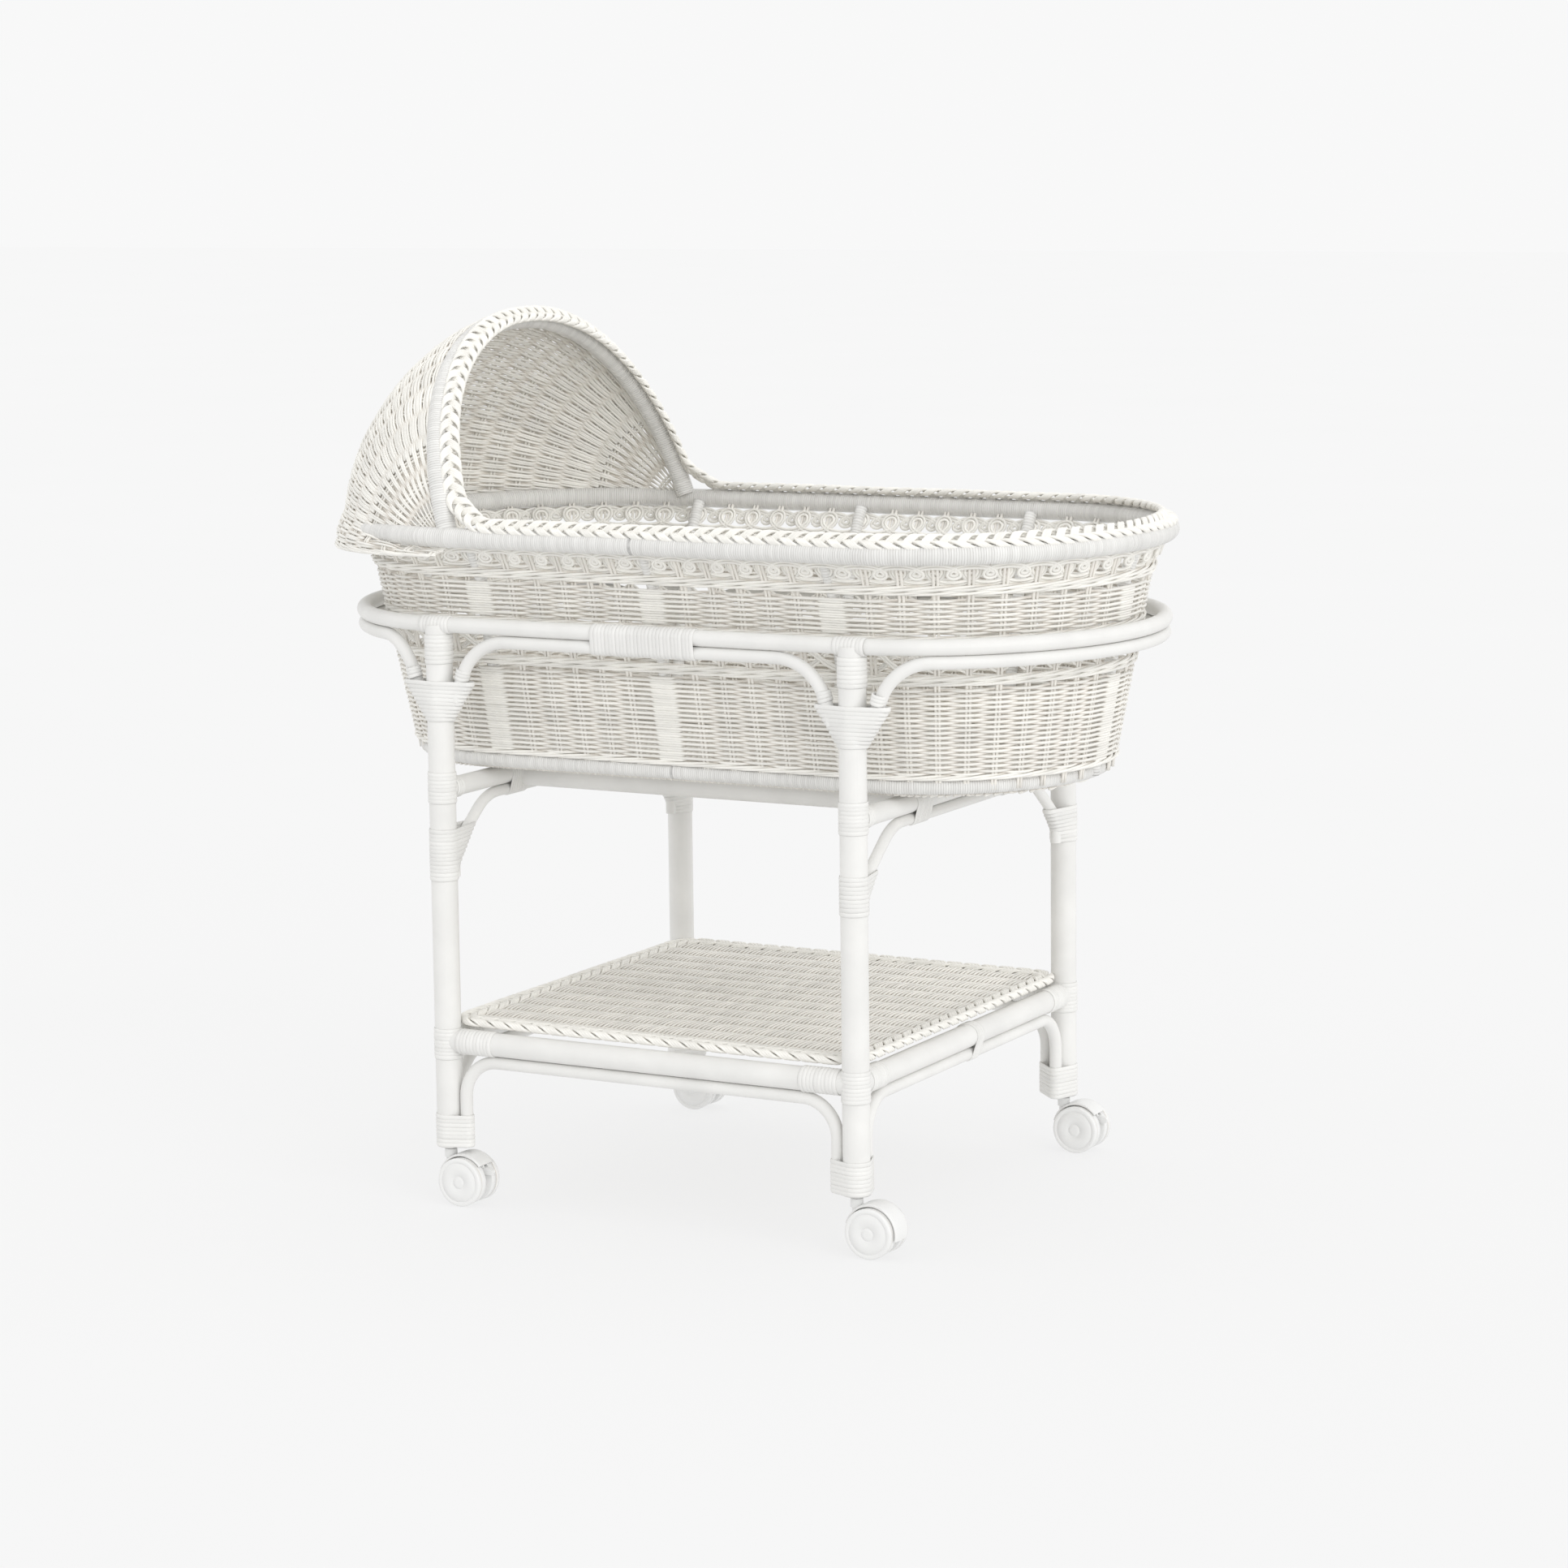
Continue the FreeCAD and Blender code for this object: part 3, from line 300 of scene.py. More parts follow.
def spaced(line, distances):
    """Points at the given running lengths of an open line."""
    run = np.concatenate([[0], np.cumsum(np.linalg.norm(np.diff(line, axis=0), axis=1))])
    return np.stack([np.interp(distances, run, line[:, k]) for k in range(line.shape[1])], -1)


def line_length(line):
    return np.linalg.norm(np.diff(line, axis=0), axis=1).sum()


def oval_tube(batch, size, z, radius, sides, samples=720):
    """A closed round pole bent to an oval."""
    line = oval_line(*size)
    flat = spaced(line, np.linspace(0, line_length(line), samples, endpoint=False))
    points = np.concatenate([flat, np.full((samples, 1), z)], 1)
    batch.tubes(points, (0, 0, 1), radius, closed=True, sides=sides, shade=0.5)


class Sheet:
    """A curved sheet as a grid of points, read at any row and column and lifted off it."""

    def __init__(self, grid, wraps):
        self.grid = grid
        self.wraps = wraps
        if wraps:
            across = np.roll(grid, -1, axis=1) - np.roll(grid, 1, axis=1)
        else:
            across = np.gradient(grid, axis=1)
        normal = unit(np.cross(across, np.gradient(grid, axis=0)))
        away = (normal * (grid - grid.reshape(-1, 3).mean(0))).sum(-1).mean()
        self.normal = normal if away > 0 else -normal

    def mix(self, values, row, column):
        rows, columns = values.shape[:2]
        row = np.clip(row, 0, rows - 1.001)
        column = np.mod(column, columns) if self.wraps else np.clip(column, 0, columns - 1.001)
        r, c = np.floor(row).astype(int), np.floor(column).astype(int)
        fr, fc = (row - r)[..., None], (column - c)[..., None]
        c2 = (c + 1) % columns if self.wraps else c + 1
        c = c % columns
        low = values[r, c] * (1 - fc) + values[r, c2] * fc
        high = values[r + 1, c] * (1 - fc) + values[r + 1, c2] * fc
        return low * (1 - fr) + high * fr

    def at(self, row, column, lift):
        """Points lifted along the normal, and the normals."""
        row, column, lift = np.broadcast_arrays(row, column, lift)
        normal = unit(self.mix(self.normal, row, column))
        return self.mix(self.grid, row, column) + normal * lift[..., None], normal


# ---------------------------------------------------------------- the basket
WALL_LOW = 441.0
WALL_STEP = 4.0
NODE_COLUMNS = 8


def node_to_length(node, perimeter):
    """Running length of a node: posts stand at the tips, the side middles and the side ends."""
    quarter = perimeter / 4
    side = SIDE_POST_X
    marks = [0, side, quarter, 2 * quarter - side, 2 * quarter, 2 * quarter + side,
             3 * quarter, perimeter - side, perimeter]
    places = [low + (high - low) * part
              for low, high, bay in zip(marks, marks[1:], BAY_PLAN) for part in bay]
    return np.interp(node, np.arange(NODES + 1), places + [perimeter])


def wall_sheet():
    levels = np.arange(WALL_LOW, 680.0, WALL_STEP)
    nodes = np.arange(NODES * NODE_COLUMNS) / NODE_COLUMNS
    rows = []
    for z in levels:
        size = [np.interp(z, WALL_LEVELS, track) for track in (WALL_STRAIGHTS, WALL_CAPS, WALL_HALVES)]
        line = oval_line(*size)
        flat = spaced(line, node_to_length(nodes, line_length(line)))
        rows.append(np.concatenate([flat, np.full((len(nodes), 1), z)], 1))
    return Sheet(np.stack(rows), True)


def wall_at(sheet, z, node, lift):
    return sheet.at((z - WALL_LOW) / WALL_STEP, node * NODE_COLUMNS, lift)


def ease(x, start=0.1, end=0.9):
    """Smooth step between start and end, flat on both sides."""
    x = np.clip((x - start) / (end - start), 0, 1)
    return x * x * (3 - 2 * x)


def woven_lift(node, phase, depth):
    """Side that a strand passes each node on: over the posts, and in turn at the stakes."""
    low = np.floor(node)

    def over_post(n):
        return np.isin(np.mod(n, NODES), POST_NODES)

    def side(n):
        return np.where(over_post(n), 1.0, np.where(np.mod(n + phase, 2) == 0, 1.0, -1.0))

    start = np.where(over_post(low), 0.25, np.where(over_post(low + 1), 0.5, 0.1))
    end = np.where(over_post(low), 0.5, np.where(over_post(low + 1), 0.75, 0.9))
    part = ease(node - low, start, end)
    return depth * (side(low) * (1 - part) + side(low + 1) * part)


def slow_noise(random, rows, samples, waves):
    """Gentle closed waves, one row per strand."""
    turn = np.linspace(0, 2 * math.pi, samples, endpoint=False)
    total = np.zeros((rows, samples))
    for wave in waves:
        phase = random.random((rows, 1)) * 2 * math.pi
        total += np.sin(wave * turn[None] + phase) / len(waves)
    return total


def weave_band(batch, sheet, low, high, settings):
    """Plain weave between two heights: neighbouring strands pass the stakes on opposite sides."""
    pitch, depth, radius = (v / MM for v in (
        settings.strand_pitch, settings.weave_depth, settings.strand_radius))
    rows = int((high - low) / pitch)
    nodes = np.arange(NODES * 7) / 7.0
    z = low + np.arange(rows)[:, None] * pitch
    z = z + 0.32 * slow_noise(batch.random, rows, len(nodes), (3, 7, 13, 31))
    lift = np.stack([woven_lift(nodes, row % 2, depth) for row in range(rows)])
    lift = lift + 0.2 * slow_noise(batch.random, rows, len(nodes), (11, 29, 47))
    paths, normals = wall_at(sheet, z, nodes[None], lift)
    thick = radius * (1 + 0.07 * slow_noise(batch.random, rows, len(nodes), (5, 17)))
    batch.tubes(paths, normals, thick, closed=True, lift=lift)


def wale(batch, sheet, z, settings, swing=1.6, rods=4):
    """Rods twisted round one another, each in front of two stakes and behind the next."""
    nodes = np.arange(NODES * 5) / 5.0
    turn = 2 * math.pi * (nodes / rods + np.arange(rods)[:, None] / rods)
    lift = 0.8 + (settings.weave_depth / MM + 0.6) * np.cos(turn)
    paths, normals = wall_at(sheet, z + swing * np.sin(turn), nodes[None], lift)
    batch.tubes(paths, normals, settings.strand_radius / MM, closed=True, lift=lift)


def looped_openwork(batch, sheet, z, settings):
    """Rings that circle each stake, and wide arcs laid over them just under the rim."""
    nodes = np.arange(NODES * 18) / 18.0
    turn = 2 * math.pi * (nodes + 0.5)
    for sweep, rise, up, lift in LOOP_FAMILIES:
        for offset in (-1.55, 1.55):
            reach = sweep + math.copysign(offset, sweep * offset)
            height = z + up - (rise + offset) * np.cos(turn)
            across = nodes + reach * np.sin(turn) / NODE_MM
            paths, normals = wall_at(sheet, height, across, lift + 0 * turn)
            batch.tubes(paths, normals, settings.stake_radius / MM, closed=True, crevice_shade=0.35)


def crossed_openwork(batch, sheet, z, settings):
    """Two runs of paired rods that cross midway between the stakes."""
    nodes = np.arange(NODES * 8) / 8.0
    for side in (-1, 1):
        for offset in (-1.6, 1.6):
            wave = side * np.cos(math.pi * nodes)
            lift = side * 1.7 * np.sin(math.pi * nodes) + 2.0 * wave
            paths, normals = wall_at(sheet, z + 10.5 * wave + offset, nodes, lift)
            batch.tubes(paths, normals, settings.stake_radius / MM, closed=True, crevice_shade=0.35)


def build_wall(settings):
    sheet = wall_sheet()
    lower = Batch(11)
    weave_band(lower, sheet, *LOWER_WEAVE, settings)
    lower.build("wall_weave_lower", bpy.data.materials["Wicker"], "basket", ["basket_wall"], "wicker")
    upper = Batch(12)
    weave_band(upper, sheet, *UPPER_WEAVE, settings)
    upper.build("wall_weave_upper", bpy.data.materials["Wicker"], "basket", [], "wicker")

    rows = Batch(13)
    for z in WALE_LEVELS:
        wale(rows, sheet, z, settings)
    looped_openwork(rows, sheet, HIGH_OPENWORK_Z, settings)
    crossed_openwork(rows, sheet, LOW_OPENWORK_Z + 2, settings)
    rows.build("wall_openwork", bpy.data.materials["Wicker"], "basket", [], "wicker")

    uprights = Batch(14)
    nodes = np.array([n for n in range(NODES) if n not in POST_NODES])
    z = np.linspace(STAKE_LOW, STAKE_HIGH, 30)
    for offset in (-STAKE_PAIR, STAKE_PAIR):
        across = nodes[:, None] + offset / NODE_MM + 0 * z[None]
        paths, normals = wall_at(sheet, z[None] + 0 * across, across, 0.15 * np.sin(z / 9.0)[None])
        # Painted shade: the stakes sit in the middle of the weave and get a fixed share of crevice shade.
        uprights.tubes(paths, normals, settings.stake_radius / MM, crevice_shade=0.6)
    uprights.build("wall_stakes", bpy.data.materials["Wicker"], "basket", [], "wicker")

    posts = Batch(15)
    across = np.array(POST_NODES, float)[:, None] + 0 * z[None]
    paths, normals = wall_at(sheet, z[None] + 0 * across, across, POST_LIFT)
    posts.tubes(paths, normals, POST_R, sides=14, shade=0.5)
    posts.build("wall_posts_wrapped", bpy.data.materials["Wrapped Cane"], "basket",
                ["wall_posts"], "wicker")


# -------------------------------------------------------------- plaited edges
def plait(batch, line, faces, width, height, pitch, rod_radius, rods, closed):
    """Three strands of rods plaited along a line. pitch is the spacing of the crossings."""
    length = line_length(np.concatenate([line, line[:1]]) if closed else line)
    total = length / (3 * np.mean(pitch))
    turns = round(total) if closed else total
    samples = int(turns * 22)
    where = np.linspace(0, length, samples, endpoint=not closed)
    source = np.concatenate([line, line[:1]]) if closed else line
    lift = np.concatenate([faces, faces[:1]]) if closed else faces
    run = np.concatenate([[0], np.cumsum(np.linalg.norm(np.diff(source, axis=0), axis=1))])
    points = np.stack([np.interp(where, run, source[:, k]) for k in range(3)], -1)
    normal = unit(np.stack([np.interp(where, run, lift[:, k]) for k in range(3)], -1))
    spacing = np.append(pitch, pitch[0]) if closed else pitch
    local = np.interp(where, run, np.broadcast_to(spacing, len(source)))
    rate = np.cumsum(1.0 / local)
    phase = 2 * math.pi * turns * (rate - rate[0]) / (rate[-1] + (1.0 / local[-1] if closed else 0) - rate[0])
    _, tangent = along_path(points, closed)
    side = unit(np.cross(tangent, normal))
    step = 1.75 * rod_radius / width
    for strand in range(3):
        tone = batch.random.random()
        for rod in range(rods):
            angle = phase + 2 * math.pi * strand / 3 + (rod - (rods - 1) / 2) * step
            lateral = width * np.sin(angle) * (1 + 0.06 * np.sin(where / 31.0))
            rise = height * np.sin(2 * angle)
            path = points + side * lateral[:, None] + normal * rise[:, None]
            # Painted shade: a rod gets more crevice shade where it dips down under the other strands.
            crevice_shade = np.clip(0.45 - 0.5 * np.sin(2 * angle), 0, 1) * 0.55
            batch.tubes(path, normal, rod_radius, closed=closed, crevice_shade=crevice_shade[None],
                        shade=0.7 * tone + 0.3 * batch.random.random())


def hood_arch(shift, across, drop):
    """Arch over the hood's opening: shift moves it forwards, across widens it."""
    lean = math.radians(HOOD_LEAN_DEG)
    turn = np.linspace(0, math.pi, 400)
    rise = np.abs(np.sin(turn)) ** HOOD_ROUND * (HOOD_ARCH_RISE + drop)
    half = np.sign(np.cos(turn)) * np.abs(np.cos(turn)) ** HOOD_ROUND * across
    x = HOOD_CENTRE[0] + shift * math.cos(lean) - rise * math.sin(lean)
    z = HOOD_ARCH_Z + shift * math.sin(lean) + rise * math.cos(lean)
    return np.stack([x, -half, z], -1)


def smooth_line(line, step, window, closed):
    """The same line resampled evenly and rounded at its corners."""
    source = np.concatenate([line, line[:1]]) if closed else line
    length = line_length(source)
    points = spaced(source, np.arange(0, length, step))
    kernel = np.hanning(window + 2)[1:-1]
    kernel /= kernel.sum()
    padded = np.concatenate([points[-window:], points, points[:window]])
    out = np.stack([np.convolve(padded[:, k], kernel, "same") for k in range(3)], -1)
    return out[window:-window]


def build_plaits():
    """One plait runs round the rim and up over the front of the hood."""
    arch = hood_arch(14.0, 236.0, 2.0)
    arch = arch[arch[:, 2] > PLAIT_FOOT_Z]
    rim = oval_line(RIM_OVAL[0], RIM_OVAL[1] - 1.5, RIM_OVAL[2] - 1.5)
    rim = spaced(rim, np.linspace(0, line_length(rim), 900, endpoint=False))
    start = np.argmax(rim[:, 0] < PLAIT_FOOT_X)
    ahead = rim[:start][rim[:start, 0] > PLAIT_FOOT_X]
    tail = rim[start:]
    tail = tail[(tail[:, 0] > PLAIT_FOOT_X)]
    around = np.concatenate([tail, ahead])
    around = np.concatenate([around, np.full((len(around), 1), RIM_Z + RIM_R + 2.5)], 1)
    line = smooth_line(np.concatenate([around, arch[::-1]]), 2.5, 15, True)
    centre = np.array([HOOD_CENTRE[0], 0.0, RIM_Z])
    on_hood = np.clip((line[:, 2] - (RIM_Z + RIM_R + 4)) / 40.0, 0, 1)[:, None]
    radial = unit((line - centre) * np.array([0.0, 1.0, 1.0]))
    outward = unit((line - np.array([line[:, 0].clip(-226, 226), 0 * line[:, 0], line[:, 2]]).T)
                   * np.array([1.0, 1.0, 0.0]))
    flat = unit(np.array([0.0, 0.0, 1.0]) * 0.86 + outward * 0.5)
    upright = unit(np.array([math.cos(0.297), 0.0, math.sin(0.297)]) * 0.75 + radial * 0.66)
    faces = unit(flat * (1 - on_hood) + upright * on_hood)
    pitch = 17.0 - 1.5 * on_hood[:, 0]
    batch = Batch(21)
    plait(batch, line, faces, 9.4, 2.6, pitch, 1.6, 4, True)
    batch.build("rim_and_hood_plait", bpy.data.materials["Wicker"], "basket",
                ["rim_braid", "hood_braid"], "wicker")


def build_rolls():
    """Rim, base ring and hood pole, all closely wound with fine cane."""
    rim = Batch(31)
    oval_tube(rim, RIM_OVAL, RIM_Z, RIM_R, 24)
    rim.build("rim_wound", bpy.data.materials["Wrapped Rim"], "basket", ["rim_pole"], "pole")
    base = Batch(32)
    oval_tube(base, BASE_OVAL, BASE_RING_Z, BASE_RING_R, 20)
    base.build("base_ring_wound", bpy.data.materials["Wrapped Base"], "basket", ["base_ring"], "wicker")
    hood = Batch(33)
    line = hood_arch(0.0, 240.0, 0.0)
    line = smooth_line(line[line[:, 2] > 676.0], 2.0, 3, False)[4:-4]
    hood.tubes(line, (1, 0, 0.3), 10.0, sides=24, shade=0.5)
    hood.build("hood_pole_wound", bpy.data.materials["Wrapped Rim"], "basket", ["hood_pole"], "pole")


# ------------------------------------------------------------------- the hood
HOOD_ROW_DEG = 1.0
HOOD_LOW_DEG = -4.0
HOOD_COLUMNS = HOOD_PAIRS * 24


def hood_sheet():
    rows = []
    turn = np.linspace(0, math.pi, 900)
    share = np.linspace(0, 1, HOOD_COLUMNS + 1)
    for tip in np.arange(HOOD_LOW_DEG, 78.0, HOOD_ROW_DEG):
        reach = np.interp(tip, (4.0, 9.0, 45.0, HOOD_TIP_DEG), (235.5, 231.5, 235.0, 240.5))
        across = np.interp(tip, (4.0, 9.0, 40.0), (257.5, 246.0, 242.0))
        out = np.sin(turn) ** HOOD_ROUND * reach
        y = -np.sign(np.cos(turn)) * np.abs(np.cos(turn)) ** HOOD_ROUND * across
        angle = math.radians(tip)
        x = HOOD_CENTRE[0] - out * math.cos(angle)
        line = np.stack([x, y, HOOD_CENTRE[2] + out * math.sin(angle)], -1)
        rows.append(spaced(line, share * line_length(line)))
    return Sheet(np.stack(rows), False)


def build_hood(settings):
    sheet = hood_sheet()
    pitch, depth, radius = (v / MM for v in (
        settings.strand_pitch, settings.weave_depth, settings.strand_radius))
    step = math.degrees(pitch / 238.0)
    count = int((HOOD_TIP_DEG - 2.5) / step)
    samples = HOOD_PAIRS * 5
    index = np.arange(count)
    rank = np.where(index % 2, 0, np.where(index % 4, 1, np.where(index % 8, 2, 3)))
    reach = np.arcsin(np.array([0.46, 0.25, 0.11, 0.04]))[rank] / math.pi
    part = np.linspace(0, 1, samples)[None]
    share = reach[:, None] + (1 - 2 * reach[:, None]) * part
    tip = (0.8 + index * step)[:, None] + 0.0 * share
    batch = Batch(41)
    tip = tip + 0.08 * slow_noise(batch.random, count, samples, (2, 5, 9))
    node = share * HOOD_PAIRS - 0.5
    low = np.floor(node)
    phase = (index + index // 2 + index // 4)[:, None]
    odd = np.where(np.mod(low + phase, 2) == 0, 1.0, -1.0)
    lift = depth * odd * (1 - 2 * ease(node - low))
    lift = lift + 0.2 * slow_noise(batch.random, count, samples, (11, 23))
    thin = np.clip(np.sin(math.pi * share) * 1.3 + 0.35, 0.5, 1.0)
    paths, normals = sheet.at((tip - HOOD_LOW_DEG) / HOOD_ROW_DEG, share * HOOD_COLUMNS, lift)
    batch.tubes(paths, normals, radius * thin, lift=lift)
    batch.build("hood_weave", bpy.data.materials["Wicker"], "basket", ["hood_skin"], "wicker")

    stakes = Batch(42)
    where = np.linspace(-1.0, HOOD_TIP_DEG + 1.0, 40)
    share = (np.arange(HOOD_PAIRS) + 0.5) / HOOD_PAIRS
    for offset in (-STAKE_PAIR, STAKE_PAIR):
        column = (share[:, None] + offset / 740.0 + 0 * where[None]) * HOOD_COLUMNS
        paths, normals = sheet.at((where[None] - HOOD_LOW_DEG) / HOOD_ROW_DEG, column, 0.0)
        # Painted shade: the hood stakes lie behind the strands and get a fixed share of crevice shade.
        stakes.tubes(paths, normals, settings.stake_radius / MM, crevice_shade=0.5)
    node = np.linspace(0.5, HOOD_PAIRS - 0.5, HOOD_PAIRS * 6)
    for tip, lift in ((-0.9, 1.5), (0.0, 0.4)):
        for strand in range(3):
            turn = 2 * math.pi * (node + strand) / 3
            height = (tip - HOOD_LOW_DEG + 0.35 * np.sin(turn)) / HOOD_ROW_DEG
            paths, normals = sheet.at(height, node / HOOD_PAIRS * HOOD_COLUMNS, lift + 2.4 * np.cos(turn))
            stakes.tubes(paths, normals, radius, crevice_shade=0.2)
    stakes.build("hood_stakes", bpy.data.materials["Wicker"], "basket", [], "wicker")


# ---------------------------------------------------------- flat woven panels
def flat_weave(batch, xs, reach_y, stake_ys, reach_x, z, depth, radius, stake_radius, per_stake):
    """Strands across a panel, over and under pairs of stakes that run along it."""
    pitch = stake_ys[1] - stake_ys[0]
    samples = int(len(stake_ys) * per_stake) + 1
    part = np.linspace(-1, 1, samples)[None]
    y = reach_y[:, None] * part
    node = (y - stake_ys[0]) / pitch
    low = np.floor(node)
    odd = np.where(np.mod(low + np.arange(len(xs))[:, None], 2) == 0, 1.0, -1.0)
    lift = depth * odd * (1 - 2 * ease(node - low))
    lift = lift + 0.15 * slow_noise(batch.random, len(xs), samples, (3, 7))
    x = xs[:, None] + 0.3 * slow_noise(batch.random, len(xs), samples, (1, 2, 5))
    paths = np.stack([x, y, z + lift], -1)
    batch.tubes(paths, (0, 0, 1), radius, lift=lift)
    for offset in (-STAKE_PAIR, STAKE_PAIR):
        for y, reach in zip(stake_ys, reach_x):
            line = np.stack([np.linspace(-reach, reach, 8), np.full(8, y + offset), np.full(8, z)], -1)
            # Painted shade: the stakes lie between the strands and get a fixed share of crevice shade.
            batch.tubes(line, (0, 0, 1), stake_radius, crevice_shade=0.5)


def rounded_reach(position, half, other, corner):
    """How far a rounded rectangle reaches at a position along its other side."""
    over = np.clip(np.abs(position) - (half - corner), 0, corner)
    return other - corner + np.sqrt(np.maximum(corner ** 2 - over ** 2, 0))


def build_shelf(settings):
    pitch, depth, radius = (v / MM for v in (
        settings.strand_pitch, settings.weave_depth, settings.strand_radius))
    half_x, half_y = DECK_HALF
    xs = np.arange(-half_x + 4, half_x - 3, pitch)
    ys = np.linspace(-half_y + 15, half_y - 15, 14)
    deck = Batch(51)
    flat_weave(deck, xs, rounded_reach(xs, half_x, half_y, DECK_CORNER) - 2, ys,
               rounded_reach(ys, half_y, half_x, DECK_CORNER) - 2, DECK_Z,
               depth * 0.85, radius * 0.95, settings.stake_radius / MM, 5)
    deck.build("shelf_weave", bpy.data.materials["Wicker"], "stand", ["shelf_deck"], "wicker")

    edge = Batch(52)
    x, y, c = half_x, half_y, DECK_CORNER - 12
    turn = np.linspace(0, math.pi / 2, 12)
    corner = np.stack([np.cos(turn), np.sin(turn)], -1) * c
    line = []
    for sx, sy, spin in ((1, 1, 0), (-1, 1, 1), (-1, -1, 2), (1, -1, 3)):
        rotated = corner
        for _ in range(spin):
            rotated = np.stack([-rotated[:, 1], rotated[:, 0]], -1)
        line.append(rotated + np.array([sx * (x - c), sy * (y - c)]))
    line = np.concatenate(line)
    line = np.concatenate([line, np.full((len(line), 1), DECK_Z + 1.5)], 1)
    line = smooth_line(line, 2.5, 3, True)
    up = np.broadcast_to(np.array([0.0, 0.0, 1.0]), line.shape)
    plait(edge, line, up, 7.8, 3.0, np.full(len(line), 20.5), 1.7, 4, True)
    edge.build("shelf_edge_plait", bpy.data.materials["Wicker"], "stand", ["shelf_edge_braid"], "wicker")


def build_floor():
    straight, cap, half = BASE_OVAL
    batch = Batch(53)
    reach = straight + cap - 4

    def width_at(x):
        over = np.clip(np.abs(x) - straight, 0, cap) / cap
        return (half - 3) * np.sqrt(1 - over ** 2)

    xs = np.arange(-reach, reach + 1, 3.4)
    ys = np.linspace(-half + 20, half - 20, 11)
    ends = straight + cap * np.sqrt(1 - (ys / half) ** 2) - 4
    flat_weave(batch, xs, width_at(xs), ys, ends, 441.5, 1.5, 1.9, 1.5, 4)
    batch.build("floor_weave", bpy.data.materials["Wicker"], "basket", ["basket_floor"], "wicker")


# ------------------------------------------------------------------- bindings
def hull_loop(circles, samples=44):
    """Outline of a cord pulled round circles (x, y, r), with its outward normals."""
    turn = np.linspace(0, 2 * math.pi, samples, endpoint=False)
    out = np.stack([np.cos(turn), np.sin(turn)], -1)
    circles = np.asarray(circles, float)
    support = circles[:, :2] @ out.T + circles[:, 2:3]
    best = support.argmax(0)
    return circles[best, :2] + circles[best, 2:3] * out, out


def wind(batch, circles_at, levels, frame_axes, width, thick=0.85, tilt=0.0):
    """Turns of flat cane round the circles found at each level.

    frame_axes is (origin, first, second, along): plane axes and the direction of the levels.
    """
    origin, first, second, along = (np.asarray(a, float) for a in frame_axes)
    for level in levels:
        outline, out = hull_loop(circles_at(level))
        outline = outline + out * thick * 0.45
        lean = tilt * (outline[:, :1] - outline[:, 0].mean())
        path = origin + outline[:, :1] * first + outline[:, 1:] * second + along * (level + lean)
        path = path + along * 0.18 * np.sin(np.linspace(0, 2 * math.pi, len(path)) + level)[:, None]
        normal = out[:, :1] * first + out[:, 1:] * second
        batch.tubes(path, normal, width * 0.6, closed=True, sides=8, flat=thick / (width * 0.6))


def levels_between(low, high, pitch):
    count = max(1, round((high - low) / pitch))
    return low + (np.arange(count) + 0.5) * (high - low) / count


